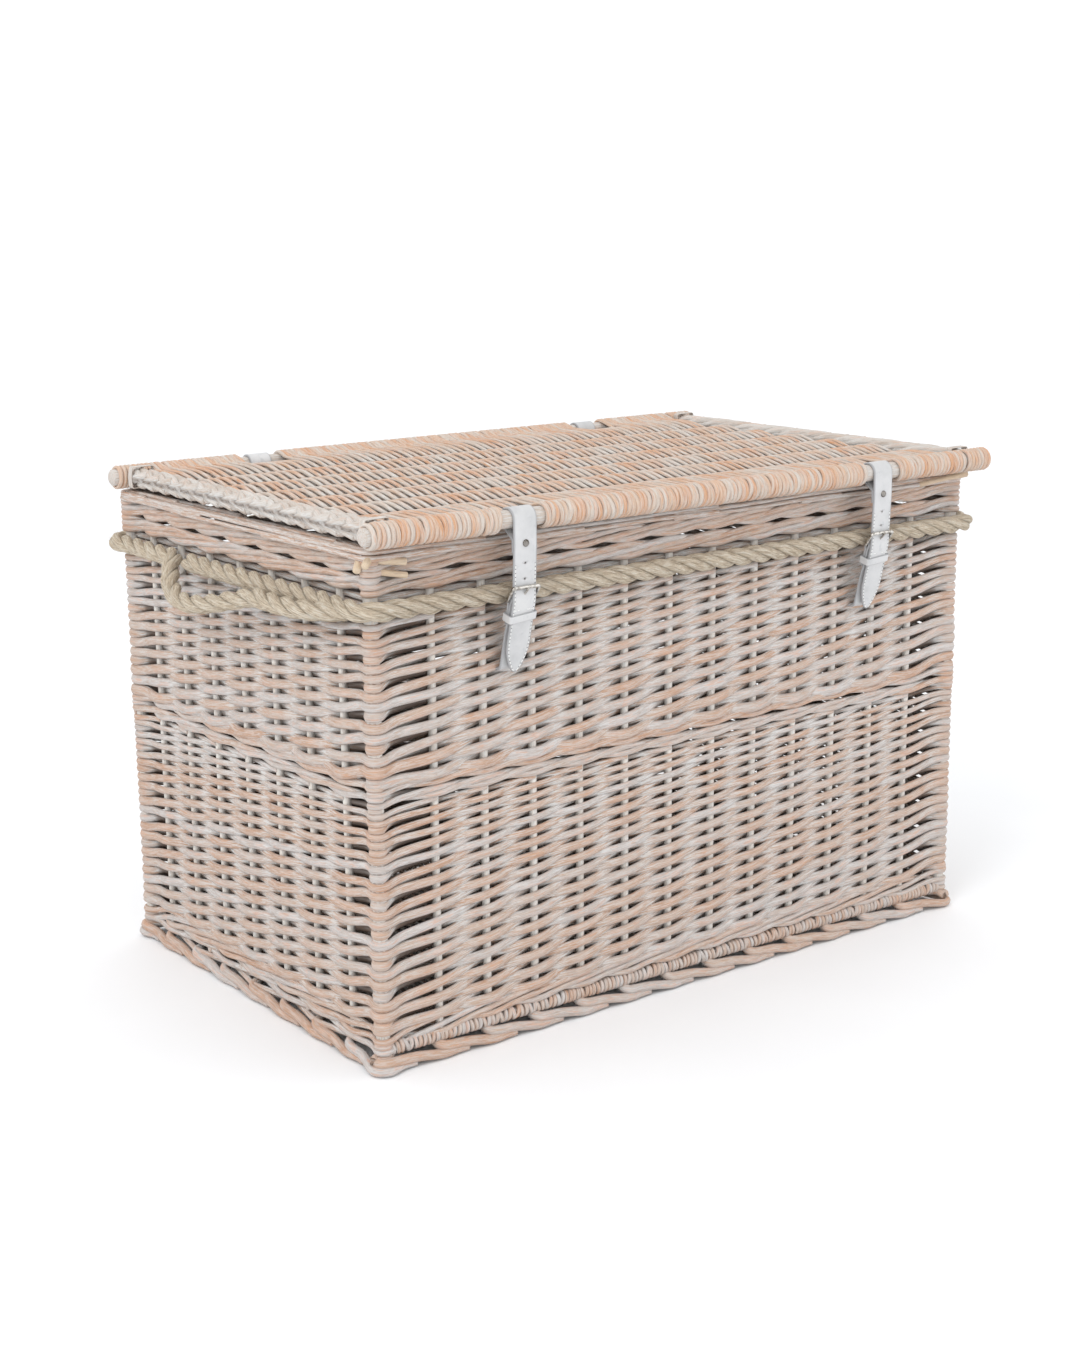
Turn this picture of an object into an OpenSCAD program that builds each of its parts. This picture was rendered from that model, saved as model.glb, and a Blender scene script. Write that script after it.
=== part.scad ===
// Wicker storage trunk: a woven willow box with a hinged woven lid, two
// leather straps with buckles, and a rope band that forms a handle at each end.
// +X runs along the front, +Y points to the back, +Z is up.
// The origin is on the floor at the middle of the trunk's outline.

/* [Trunk body] */
// Length of the woven body along X
body_length = 774; // [700:1:860]
// Depth of the woven body along Y
body_depth = 494; // [440:1:560]
// Thickness of a woven wall
wall = 20; // [19:0.5:22]
// Outside corner radius of the walls
corner_r = 12; // [8:1:16]

/* [Levels above the floor] */
// Top of the foot border
foot_top = 16.8; // [14:0.2:20]
// Top of the woven base
base_top = 29.6; // [28:0.2:32]
// Top of the waling above the base
base_waling_top = 48; // [44:1:52]
// Top of the lower siding
lower_top = 257; // [220:1:280]
// Top of the waling between the two sidings
middle_top = 287; // [284:1:300]
// Top of the upper siding, where the rope band begins
upper_top = 434; // [430:1:435]
// Bottom of the top waling, where the rope band ends
top_waling_z = 458; // [457:1:460]
// Top of the top waling
top_waling_top = 492; // [490:1:493]
// Top of the rim border
rim_top = 501; // [498:1:502]

/* [Stakes] */
// Diameter of the upright stakes
stake_d = 7; // [6:0.5:9]
// Number of stakes along the front
front_stakes = 12; // [10:2:14]
// Distance between stakes along the front
front_gap = 57; // [50:1:58]
// Number of stakes along each end
end_stakes = 7; // [5:2:7]
// Distance between stakes along each end
end_gap = 62; // [56:1:62]
// Diameter of the four corner posts
post_d = 14; // [12:1:15]

/* [Lid] */
// Length of the lid's front and back sticks
lid_stick_length = 800; // [790:1:820]
// Diameter of the bare lid sticks
lid_stick_d = 17.4; // [16:0.2:18]
// Height of the lid sticks' centres above the floor
lid_z = 516.5; // [515:0.5:520]
// How far the lid's front stick stands in front of the front wall
lid_overhang = 17; // [16:0.5:19]
// How far the lid's back stick lies inside the back wall's outer face
lid_inset = 18; // [17:0.5:19]
// Outer diameter of the willow turned round the lid sticks
wrap_d = 25; // [24:0.5:26]
// Number of inner lid sticks
lid_sticks = 7; // [6:1:8]

/* [Leather straps] */
// Distance of each strap's middle from the trunk's middle
strap_x = 232; // [228:1:236]
// Distance of each hinge loop's middle from the trunk's middle
hinge_x = 227; // [224:1:230]
// Width of the leather straps
strap_w = 26.4; // [25:0.2:26.6]
// Thickness of the leather
leather = 2.4; // [2:0.1:2.5]
// Height of the strap's pointed tip above the floor
strap_tip_z = 370.5; // [368:0.5:376]

/* [Buckles] */
// Diameter of the buckle's wire
wire_d = 3.2; // [3:0.1:3.4]
// Distance between the middles of the buckle's side bars
buckle_w = 30.8; // [30.6:0.1:32]
// Diameter of the prong
prong_d = 2.6; // [2.4:0.1:2.8]

/* [Rope] */
// Diameter of the rope
rope_d = 19.4; // [18:0.2:20]
// Sag of a rope handle below the line between its ends
handle_reach = 36; // [34:1:40]
// Distance of a handle's back end from the body's middle
handle_back = 115; // [105:1:125]
// Distance of a handle's front end from the body's middle
handle_front = 85; // [75:1:95]

/* [Hidden] */
$fn = 64;

// Clearances
seam = 0.2;         // between woven bands and at their mitred corners
channel = 0.1;      // round a stake inside a woven band
running = 0.08;     // round a bar that turns
slot_room = 0.4;    // round leather that passes through a wall

// The rope lies in a groove of the wall and stands proud of it.
rope_proud = 4.5;
rope_z = (upper_top + top_waling_z) / 2;
rope_turn = rope_proud + wall / 2;

// The hinge loop's outer run lies just outside the back wall.
wall_room = 0.4;
hinge_out = wall_room + leather;
rivet_r = 3.5;
rivet_dome = 2.2;

// Buckle geometry in the Y-Z plane, measured from the front wall's outer face.
heel = [-19, 441];
front_bar = [-28.3, 453.6];
bar_gap = norm(front_bar - heel);
bar_angle = atan2(front_bar[1] - heel[1], front_bar[0] - heel[0]);
prong_lift = wire_d / 2 + prong_d / 2 + 0.1;
prong_angle = bar_angle + asin(prong_lift / bar_gap);
prong_length = 18.2;
prong_tip = heel + prong_length * [cos(prong_angle), sin(prong_angle)];

// The outline's middle lies at Y = 0, so the body sits a little behind it.
front_reach = -prong_tip[0] + prong_d / 2;
back_reach = rope_proud + rope_d / 2;
body_y = (front_reach - back_reach) / 2;
front_y = body_y - body_depth / 2;
back_y = body_y + body_depth / 2;

lid_front_y = front_y - lid_overhang;
lid_back_y = back_y - lid_inset;
stake_line_x = body_length / 2 - wall / 2;
stake_line_y = body_depth / 2 - wall / 2;
rope_x = body_length / 2 + rope_proud;
rope_half_y = body_depth / 2 + rope_proud;

// Strap: the leather goes round the lid's front stick and hangs to its tip.
loop_r = lid_stick_d / 2 + running;
loop_mid = loop_r + leather / 2;
tab_dir = [0.246, -0.969];
tab_normal = [-0.969, -0.246];
strap_bend = heel + [-5.7, -1];
strap_rivet_z = 494.6;
strap_holes = [461.3, 476];
hole_d = 2.5;
slot_low = 434.5;
slot_high = 450;
slot_w = 3.6;

keeper_at = 15.5;   // down the tab
keeper_h = 8;
keeper_out = 2.2;   // out from the tab's middle
keeper_room = [0.8, 9.8];
keeper_wall = 1.8;
tab_fold = 24;      // how far down the tab its leather is double

willow = [0.80, 0.72, 0.66];
willow_dark = [0.72, 0.62, 0.54];
white_wash = [0.86, 0.84, 0.81];
rope_colour = [0.78, 0.73, 0.62];
leather_colour = [0.88, 0.89, 0.90];
nickel = [0.75, 0.74, 0.72];

// ---- helpers -------------------------------------------------------------

// Lays a Y-Z outline along X, centred at x.
module along_x(x, width) {
    translate([x - width / 2, 0, 0])
        rotate([90, 0, 90])
            linear_extrude(width) children();
}

// A round bar along X, centred at x.
module bar_x(x, y, z, length, d) {
    translate([x - length / 2, y, z])
        rotate([0, 90, 0]) cylinder(h = length, d = d);
}

// A round bar along Y that starts at y.
module bar_y(x, y, z, length, d) {
    translate([x, y, z])
        rotate([-90, 0, 0]) cylinder(h = length, d = d);
}

// Outline of the body, moved inwards by an inset.
module body_outline(inset, r) {
    half = [body_length / 2 - inset - r, body_depth / 2 - inset - r];
    translate([0, body_y]) {
        square([2 * half[0] + 2 * r, 2 * half[1]], center = true);
        square([2 * half[0], 2 * half[1] + 2 * r], center = true);
        for (sx = [-1, 1], sy = [-1, 1])
            translate([sx * half[0], sy * half[1]]) circle(r);
    }
}

// A band of four plain walls that meet in mitres at the corners.
module plain_band(low, high, proud = 0) {
    translate([0, 0, low])
        linear_extrude(high - low)
            difference() {
                body_outline(-proud, corner_r);
                translate([0, body_y])
                    square([body_length - 2 * wall, body_depth - 2 * wall], center = true);
                corner_mitres();
            }
}

// A woven band, with channels for the stakes and posts that it is woven round.
module woven_band(low, high, proud = 0) {
    difference() {
        plain_band(low, high, proud);
        stakes_and_posts(low - 1, high + 1, 2 * channel);
    }
}

// Thin cuts along the corners' diagonals.
module corner_mitres() {
    for (sx = [-1, 1], sy = [-1, 1])
        translate([sx * stake_line_x, body_y + sy * stake_line_y])
            rotate(sx * sy * 45)
                square([4 * wall, seam], center = true);
}

function front_stake_xs() = [for (i = [0:front_stakes - 1]) (i - (front_stakes - 1) / 2) * front_gap];
function end_stake_ys() = [for (i = [0:end_stakes - 1]) body_y + (i - (end_stakes - 1) / 2) * end_gap];

module upright_stakes(low, high, grow) {
    for (x = front_stake_xs(), sy = [-1, 1])
        translate([x, body_y + sy * stake_line_y, low])
            cylinder(h = high - low, d = stake_d + grow);
    for (y = end_stake_ys(), sx = [-1, 1])
        translate([sx * stake_line_x, y, low])
            cylinder(h = high - low, d = stake_d + grow);
}

module upright_posts(low, high, grow) {
    for (sx = [-1, 1], sy = [-1, 1])
        translate([sx * stake_line_x, body_y + sy * stake_line_y, low])
            cylinder(h = high - low, d = post_d + grow);
}

module stakes_and_posts(low, high, grow) {
    upright_stakes(low, high, grow);
    upright_posts(low, high, grow);
}

// A strip of even thickness along a list of Y-Z points.
function unit(v) = v / norm(v);
function leg(p, i) = unit(p[i + 1] - p[i]);
function side(d) = [-d[1], d[0]];
function mitre(p, i) =
    i == 0 ? side(leg(p, 0)) :
    i == len(p) - 1 ? side(leg(p, i - 1)) :
    let (s = side(leg(p, i - 1)) + side(leg(p, i))) 2 * s / (s * s);

module strip(points, thickness) {
    n = len(points) - 1;
    polygon(concat(
        [for (i = [0:n]) points[i] + mitre(points, i) * thickness / 2],
        [for (i = [n:-1:0]) points[i] - mitre(points, i) * thickness / 2]
    ));
}

// Turns a point measured from the front wall into model coordinates.
function at_front(p) = [front_y + p[0], p[1]];
// A point on the tab, a distance down its line and out along its normal.
function on_tab(down, out) = at_front(heel + down * tab_dir + out * tab_normal);

// ---- woven body ----------------------------------------------------------

foot_proud = 2;
waling_proud = 1;

module foot_border() {
    color(willow) plain_band(0, foot_top, foot_proud);
}

base_z = (foot_top + base_top) / 2;
base_stick_d = 8;
base_rows = 8;
base_inset = 3;
base_margin = 16;   // by which the base sticks are shorter than the body

module base_stick_bars(grow, extra) {
    step = (body_depth - wall) / (base_rows - 1);
    for (i = [0:base_rows - 1])
        bar_x(0, body_y - (body_depth - wall) / 2 + i * step, base_z,
            body_length - base_margin + extra, base_stick_d + grow);
}

module base_sticks() {
    color(willow_dark) base_stick_bars(0, 0);
}

module base_weave() {
    color(willow)
        difference() {
            translate([0, 0, foot_top + seam])
                linear_extrude(base_top - foot_top - 2 * seam)
                    body_outline(base_inset, corner_r);
            base_stick_bars(2 * channel, 1);
        }
}

module base_waling() {
    color(white_wash) woven_band(base_top, base_waling_top, waling_proud);
}

// Each post is notched all round where the rope turns the corner.
module corner_posts() {
    color(willow_dark)
        difference() {
            upright_posts(base_top, top_waling_top, 0);
            for (sx = [-1, 1], sy = [-1, 1])
                translate([sx * stake_line_x, body_y + sy * stake_line_y, rope_z])
                    rotate_extrude()
                        translate([rope_turn, 0]) circle(d = rope_d + 2 * channel);
        }
}

module side_stakes() {
    color(white_wash) upright_stakes(base_top, top_waling_top, 0);
}

module lower_siding() {
    color(willow) woven_band(base_waling_top + seam, lower_top);
}

module middle_waling() {
    color(white_wash) woven_band(lower_top + seam, middle_top, waling_proud);
}

// The leather tab's inner end passes through this slot in the front wall.
tab_end = [-2.5, 376];
tab_slot_z = 372.8;
flange_h = 26;

module tab_slots() {
    for (sx = [-1, 1])
        translate([sx * strap_x, front_y + wall / 2, tab_slot_z])
            cube([strap_w + 2 * slot_room, 2 * wall, leather + 2 * slot_room], center = true);
}

module upper_siding() {
    color(willow)
        difference() {
            woven_band(middle_top + seam, upper_top);
            tab_slots();
        }
}

hinge_slot_z = 475.2;

module hinge_slots() {
    for (sx = [-1, 1])
        translate([sx * hinge_x, back_y - wall / 2, hinge_slot_z])
            cube([strap_w + 2 * slot_room, 2 * wall, leather + 2 * slot_room], center = true);
}

module top_waling() {
    color(white_wash)
        difference() {
            woven_band(top_waling_z, top_waling_top);
            hinge_slots();
        }
}

module rim_border() {
    color(willow_dark) plain_band(top_waling_top + seam, rim_top);
}

// ---- rope ----------------------------------------------------------------

splice = 1.2;       // between a handle and the fixed rope, so that it can turn
inner_start = 80;   // where the rope behind a handle ends, from the body's middle
tail_front = 190;
// A handle's two fixed points on the left end, and the way it hangs from them.
handle_a = [-rope_x, body_y + handle_back, rope_z];
handle_b = [-rope_x - 17.6, body_y - handle_front, rope_z - 8.6];
hang = [-0.707, 0, -0.707];

// A quarter turn of rope round a corner post.
module rope_corner(sx, sy) {
    start = sx > 0 ? (sy > 0 ? 0 : 270) : (sy > 0 ? 90 : 180);
    translate([sx * stake_line_x, body_y + sy * stake_line_y, rope_z])
        rotate(start)
            rotate_extrude(angle = 90)
                translate([rope_turn, 0]) circle(d = rope_d);
}

// Half of the rope band: along one long side and a way round both ends.
module rope_side(sy, reach) {
    bar_x(0, body_y + sy * rope_half_y, rope_z, 2 * stake_line_x, rope_d);
    for (sx = [-1, 1]) {
        rope_corner(sx, sy);
        bar_y(sx * rope_x, body_y + (sy > 0 ? reach : -stake_line_y), rope_z,
            sy > 0 ? stake_line_y - reach : stake_line_y + reach, rope_d);
    }
}

module front_rope() {
    color(rope_colour) rope_side(-1, inner_start);
}

module back_rope() {
    color(rope_colour) rope_side(1, handle_back);
}

// A tube swept along a list of points, with sides kept square to its path.
function tangent(p, i) =
    i == 0 ? unit(p[1] - p[0]) :
    i == len(p) - 1 ? unit(p[i] - p[i - 1]) : unit(p[i + 1] - p[i - 1]);
function ring(p, i, r, n) =
    let (t = tangent(p, i), a = unit(cross(t, [hang[2], 0, -hang[0]])), b = cross(t, a))
    [for (k = [0:n - 1]) p[i] + r * (cos(360 * k / n) * a + sin(360 * k / n) * b)];

module rope_tube(p, r, n = 12) {
    m = len(p);
    points = [for (i = [0:m - 1]) each ring(p, i, r, n)];
    walls = [for (i = [0:m - 2], k = [0:n - 1])
        [i * n + k, i * n + (k + 1) % n, (i + 1) * n + (k + 1) % n, (i + 1) * n + k]];
    ends = [[for (k = [n - 1:-1:0]) k], [for (k = [0:n - 1]) (m - 1) * n + k]];
    polyhedron(points, concat(walls, ends), convexity = 6);
}

// The handle's sag at a share of its span: steep at the back, gentle in front.
handle_steps = 22;
function handle_sag(t) = handle_reach * pow(sin(180 * pow(t, 0.74)), 1.15);
function handle_point(t) = handle_a + t * (handle_b - handle_a) + handle_sag(t) * hang;
function handle_path() = [for (i = [0:handle_steps]) handle_point(i / handle_steps)];

// The handle is trimmed square to the line through its ends, about which it turns.
module left_handle() {
    span = handle_b - handle_a;
    room = 60;
    color(rope_colour)
        intersection() {
            rope_tube(handle_path(), rope_d / 2);
            translate(handle_a)
                rotate([0, acos(span[2] / norm(span)), atan2(span[1], span[0])])
                    translate([-room, -room, splice])
                        cube([2 * room, 2 * room, norm(span) - 2 * splice]);
        }
}

module rope_handle_left() {
    left_handle();
}

module rope_handle_right() {
    mirror([1, 0, 0]) left_handle();
}

// Each handle's front end lies along the outside of the rope band.
module rope_tails() {
    color(rope_colour)
        for (sx = [0, 1])
            mirror([sx, 0, 0])
                bar_y(handle_b[0], body_y - tail_front, handle_b[2], tail_front - handle_front, rope_d);
}

// ---- buckle tabs, keepers and buckles -------------------------------------

// Where the tab's double leather starts below the heel, and its overlap at the fold.
tab_start = 2.5;
tab_lap = 1;

module tab(x) {
    h = at_front(heel);
    color(leather_colour)
        difference() {
            union() {
                bar_x(x, h[0], h[1], strap_w, wire_d + 2 * running + 2 * leather);
                along_x(x, strap_w)
                    strip([on_tab(tab_start, 0), on_tab(tab_fold, 0)], 2 * leather);
                along_x(x, strap_w)
                    strip([
                        on_tab(tab_fold - tab_lap, 0), at_front(tab_end),
                        [at_front(tab_end)[0], tab_slot_z], [front_y + wall + leather, tab_slot_z]
                    ], leather);
                along_x(x, strap_w)
                    translate([front_y + wall + wall_room, tab_slot_z - leather / 2])
                        square([leather, flange_h]);
            }
            bar_x(x, h[0], h[1], strap_w + 1, wire_d + 2 * running);
            prong_notch(x);
            tab_rivet(x, 0.05);
        }
}

// Room for the prong's eye in the middle of the tab's fold.
notch_gap = 1.2;
notch_deep = 14;
notch_tall = 16;
notch_lift = 2;
module prong_notch(x) {
    translate([x, front_y + heel[0], heel[1] + notch_lift])
        cube([prong_d + 2 * notch_gap, notch_deep, notch_tall], center = true);
}

module tab_left() {
    tab(-strap_x);
}

module tab_right() {
    tab(strap_x);
}

// A flat rivet that closes the tab's fold.
tab_rivet_at = 7.6;
tab_head_h = 0.7;
tab_head_r = 3.2;
tab_shank_r = 1.6;
module tab_rivet(x, grow) {
    p = on_tab(tab_rivet_at, 0);
    translate([x, p[0], p[1]])
        rotate([90 + atan2(-tab_normal[1], -tab_normal[0]), 0, 0]) {
            cylinder(h = 2 * leather + tab_head_h, r = tab_shank_r + grow, center = true);
            for (end = [-1, 1])
                translate([0, 0, end * (leather + tab_head_h / 2)])
                    cylinder(h = tab_head_h, r = tab_head_r, center = true);
        }
}

module tab_rivets() {
    color(nickel)
        for (x = [-strap_x, strap_x])
            tab_rivet(x, 0);
}

// A leather loop round the tab and the strap's tail.
module keeper(x) {
    tilt = atan2(tab_dir[0], -tab_dir[1]);
    p = on_tab(keeper_at, keeper_out);
    inside = [strap_w + keeper_room[0], keeper_room[1]];
    color(leather_colour)
        translate([x, p[0], p[1]])
            rotate([tilt, 0, 0])
                difference() {
                    cube([inside[0] + 2 * keeper_wall, inside[1] + 2 * keeper_wall, keeper_h], center = true);
                    cube([inside[0], inside[1], keeper_h + 1], center = true);
                }
}

module keeper_left() {
    keeper(-strap_x);
}

module keeper_right() {
    keeper(strap_x);
}

// A frame of two round bars and two flat cheeks that turns about its heel bar.
cheek_w = 2.2;
cheek_h = 3.8;
module buckle_frame(x) {
    h = at_front(heel);
    b = at_front(front_bar);
    color(nickel) {
        bar_x(x, h[0], h[1], buckle_w, wire_d);
        bar_x(x, b[0], b[1], buckle_w, wire_d);
        for (sx = [-1, 1]) {
            cheek_x = x + sx * buckle_w / 2;
            bar_x(cheek_x, h[0], h[1], cheek_w, cheek_h);
            bar_x(cheek_x, b[0], b[1], cheek_w, cheek_h);
            along_x(cheek_x, cheek_w) strip([h, b], cheek_h - 0.1);
        }
    }
}

module buckle_frame_left() {
    buckle_frame(-strap_x);
}

module buckle_frame_right() {
    buckle_frame(strap_x);
}

// The prong's eye runs on the heel bar and its tip rests on the front bar.
module prong(x) {
    h = at_front(heel);
    color(nickel)
        difference() {
            union() {
                bar_x(x, h[0], h[1], prong_d, wire_d + 3);
                translate([x, h[0], h[1]])
                    rotate([prong_angle - 90, 0, 0]) {
                        cylinder(h = prong_length, d = prong_d);
                        translate([0, 0, prong_length]) sphere(d = prong_d);
                    }
            }
            bar_x(x, h[0], h[1], 2 * prong_d, wire_d + 2 * running);
        }
}

module prong_left() {
    prong(-strap_x);
}

module prong_right() {
    prong(strap_x);
}

// ---- back hinges ---------------------------------------------------------

// A block whose outline goes round the lid's back stick and the body's rim.
hinge_slack = 2;
module hinge_block(x, width, r, out, low) {
    tuck = 0.3;
    bar_x(x, lid_back_y, lid_z, width, 2 * r);
    along_x(x, width)
        polygon([
            [lid_back_y - r + tuck, lid_z], [lid_back_y + r - tuck, lid_z],
            [back_y + out, rim_top + hinge_slack + out / 2], [back_y + out, low],
            [back_y - wall - hinge_slack - out, low], [back_y - wall - hinge_slack - out, rim_top]
        ]);
}

hinge_rivet_z = 487;

module hinge_loop(x) {
    color(leather_colour)
        difference() {
            hinge_block(x, strap_w, loop_r + leather, hinge_out, hinge_slot_z - leather / 2);
            hinge_block(x, strap_w + 2, loop_r, wall_room, hinge_slot_z + leather / 2);
            translate([x, back_y, hinge_rivet_z])
                rotate([-90, 0, 0]) cylinder(h = 10, r = 1.55);
        }
}

module hinge_loop_left() {
    hinge_loop(-hinge_x);
}

module hinge_loop_right() {
    hinge_loop(hinge_x);
}

// A domed rivet head on a plain shank, pointing along +Z from its seat.
module dome_rivet(shank) {
    cap_r = (rivet_r * rivet_r + rivet_dome * rivet_dome) / (2 * rivet_dome);
    intersection() {
        translate([0, 0, rivet_dome - cap_r]) sphere(cap_r);
        cylinder(h = rivet_dome + 1, r = 2 * rivet_r);
    }
    translate([0, 0, -shank]) cylinder(h = shank + 0.5, r = 1.5);
}

module hinge_rivets() {
    color(nickel)
        for (x = [-hinge_x, hinge_x])
            translate([x, back_y + hinge_out, hinge_rivet_z])
                rotate([-90, 0, 0]) dome_rivet(leather);
}

// ---- lid -----------------------------------------------------------------

border_w = 24;
border_low = 505;
border_high = 528.5;
weave_low = 510;
weave_high = 523;
border_in = body_length / 2 - border_w;
bare = 51;
cross_d = 8;
lashing_w = 6;
lid_step = (lid_back_y - lid_front_y) / (lid_sticks + 1);

module lid_front_stick() {
    color(willow_dark) bar_x(0, lid_front_y, lid_z, lid_stick_length, lid_stick_d);
}

module lid_back_stick() {
    color(willow_dark) bar_x(0, lid_back_y, lid_z, lid_stick_length, lid_stick_d);
}

module cross_bars(grow, extra) {
    for (i = [1:lid_sticks])
        bar_x(0, lid_front_y + i * lid_step, lid_z, 2 * border_in + border_w + extra, cross_d + grow);
}

module lid_cross_sticks() {
    color(willow_dark) cross_bars(0, 0);
}

// The woven panel, turned round the front and back sticks except at the leather.
module lid_weave() {
    depth = lid_back_y - lid_front_y;
    color(willow)
        difference() {
            union() {
                translate([-border_in + seam, lid_front_y, weave_low])
                    cube([2 * border_in - 2 * seam, depth, weave_high - weave_low]);
                for (y = [lid_front_y, lid_back_y])
                    bar_x(0, y, lid_z, body_length - 2, wrap_d);
            }
            for (y = [lid_front_y, lid_back_y])
                bar_x(0, y, lid_z, body_length + 2, lid_stick_d + 2 * channel);
            for (x = [-strap_x, strap_x])
                translate([x, lid_front_y, lid_z])
                    cube([bare, wrap_d + 1, wrap_d + 2], center = true);
            for (x = [-hinge_x, hinge_x])
                translate([x, lid_back_y, lid_z])
                    cube([bare, wrap_d + 1, wrap_d + 2], center = true);
            cross_bars(2 * channel, 1);
        }
}

module lid_border(sx) {
    gap = wrap_d / 2 + 0.5;
    color(white_wash)
        difference() {
            translate([sx * (border_in + border_w / 2) - border_w / 2, lid_front_y + gap, border_low])
                cube([border_w, lid_back_y - lid_front_y - 2 * gap, border_high - border_low]);
            cross_bars(2 * channel, 0.4);
        }
}

module lid_border_left() {
    lid_border(-1);
}

module lid_border_right() {
    lid_border(1);
}

// Willow skeins that tie the end borders at the lid's four corners.
lashing_in = 19;
lashing_out = 1.5;
lashing_up = 0.8;
lashing_gap = 15;
module corner_lashings() {
    mid_z = (border_low + border_high) / 2;
    color(white_wash)
        for (sx = [-1, 1], y = [lid_front_y + lashing_in, lid_back_y - lashing_in])
            translate([sx * (border_in + border_w / 2), y, mid_z])
                difference() {
                    cube([border_w + 2 * lashing_out, lashing_w, border_high - border_low + 2 * lashing_up], center = true);
                    cube([border_w + 0.1, lashing_w + 1, border_high - border_low + 0.1], center = true);
                    translate([-sx * border_w, 0, lid_z - mid_z])
                        cube([2 * border_w - 2 * seam, lashing_w + 1, lashing_gap], center = true);
                }
}

// ---- straps --------------------------------------------------------------

// The strap's front run, and the end of its loop that is riveted behind it.
strap_y = -27;
strap_front_run = [[strap_y, 493], [-25.2, 456], strap_bend];
strap_meet = [strap_y + leather - 0.05, 498.5];
strap_loop_end = [strap_meet[0], 486];
tail_length = (strap_bend[1] - strap_tip_z) / -tab_dir[1];
stick_at = [-lid_overhang, lid_z];
lap = 1.5;

// Where a line from a point touches the leather's middle round the stick.
function touch(p, turn) =
    let (v = p - stick_at, a = atan2(v[1], v[0]) + turn * acos(loop_mid / norm(v)))
    stick_at + loop_mid * [cos(a), sin(a)];

// The leather round the stick, open between its two runs.
module strap_loop(x, front_touch, back_touch) {
    c = at_front(stick_at);
    difference() {
        bar_x(x, c[0], c[1], strap_w, 2 * (loop_r + leather));
        bar_x(x, c[0], c[1], strap_w + 2, 2 * loop_r);
        along_x(x, strap_w + 2)
            polygon([c, at_front(stick_at + 3 * (front_touch - stick_at)),
                at_front(stick_at + [0, -60]), at_front(stick_at + 3 * (back_touch - stick_at))]);
    }
}

// Moves the first point of a run back along its first leg.
function start_back(p, back) = concat([p[0] - back * unit(p[1] - p[0])], [for (i = [1:len(p) - 1]) p[i]]);

module strap_leather(x) {
    front_touch = touch(strap_front_run[0], -1);
    back_touch = touch(strap_meet, 1);
    tip = strap_bend + tail_length * tab_dir;
    front_run = start_back(concat([front_touch], strap_front_run, [tip]), lap);
    back_run = start_back([back_touch, strap_meet, strap_loop_end], lap);
    strap_loop(x, front_touch, back_touch);
    along_x(x, strap_w) strip([for (p = front_run) at_front(p)], leather);
    along_x(x, strap_w) strip([for (p = back_run) at_front(p)], leather);
}

// Half widths of the strap's rounded point, at heights above its tip.
point_shape = [[3.2, -1], [5.8, 4], [8.4, 9], [10.8, 15], [12.4, 21], [strap_w / 2, 27]];

// The strap seen from the front.
module strap_face() {
    top = lid_z + 2 * loop_r;
    last = len(point_shape) - 1;
    left = [for (p = point_shape) [-p[0], strap_tip_z + p[1]]];
    right = [for (i = [last:-1:0]) [point_shape[i][0], strap_tip_z + point_shape[i][1]]];
    polygon(concat(left, [[-strap_w / 2, top], [strap_w / 2, top]], right));
}

module strap(x) {
    color(leather_colour)
        difference() {
            intersection() {
                strap_leather(x);
                translate([x, front_y + 20, 0])
                    rotate([90, 0, 0]) linear_extrude(80) strap_face();
            }
            for (z = strap_holes)
                translate([x, front_y, z])
                    rotate([90, 0, 0]) cylinder(h = 60, d = hole_d);
            translate([x, front_y, strap_rivet_z])
                rotate([90, 0, 0]) cylinder(h = 60, r = 1.55);
            translate([x, front_y - 25, (slot_low + slot_high) / 2])
                cube([slot_w, 30, slot_high - slot_low], center = true);
        }
}

module strap_left() {
    strap(-strap_x);
}

module strap_right() {
    strap(strap_x);
}

// A domed rivet that closes the strap's loop, with a washer behind.
washer_r = 3;
washer_h = 0.8;
module strap_rivet(x) {
    seat_y = front_y + strap_y - 0.1 - leather / 2;
    color(nickel)
        translate([x, seat_y, strap_rivet_z])
            rotate([90, 0, 0]) {
                dome_rivet(2 * leather + 1);
                translate([0, 0, -2 * leather - 1]) cylinder(h = washer_h, r = washer_r);
            }
}

module strap_rivet_left() {
    strap_rivet(-strap_x);
}

module strap_rivet_right() {
    strap_rivet(strap_x);
}

foot_border();
base_sticks();
base_weave();
base_waling();
corner_posts();
side_stakes();
lower_siding();
middle_waling();
upper_siding();
top_waling();
rim_border();
front_rope();
back_rope();
rope_tails();
rope_handle_left();
rope_handle_right();
tab_left();
tab_right();
tab_rivets();
keeper_left();
keeper_right();
buckle_frame_left();
buckle_frame_right();
prong_left();
prong_right();
hinge_loop_left();
hinge_loop_right();
hinge_rivets();
lid_front_stick();
lid_back_stick();
lid_cross_sticks();
lid_weave();
lid_border_left();
lid_border_right();
corner_lashings();
strap_left();
strap_right();
strap_rivet_left();
strap_rivet_right();
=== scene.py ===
"""Looks of a wicker storage trunk: willow weave, rope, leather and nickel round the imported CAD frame.

Lengths are in millimetres until a mesh is made. X runs along the front, Y points to the back, Z is up.
"""

import math

import bpy
import numpy as np
from mathutils import Matrix, Vector, kdtree


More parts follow.
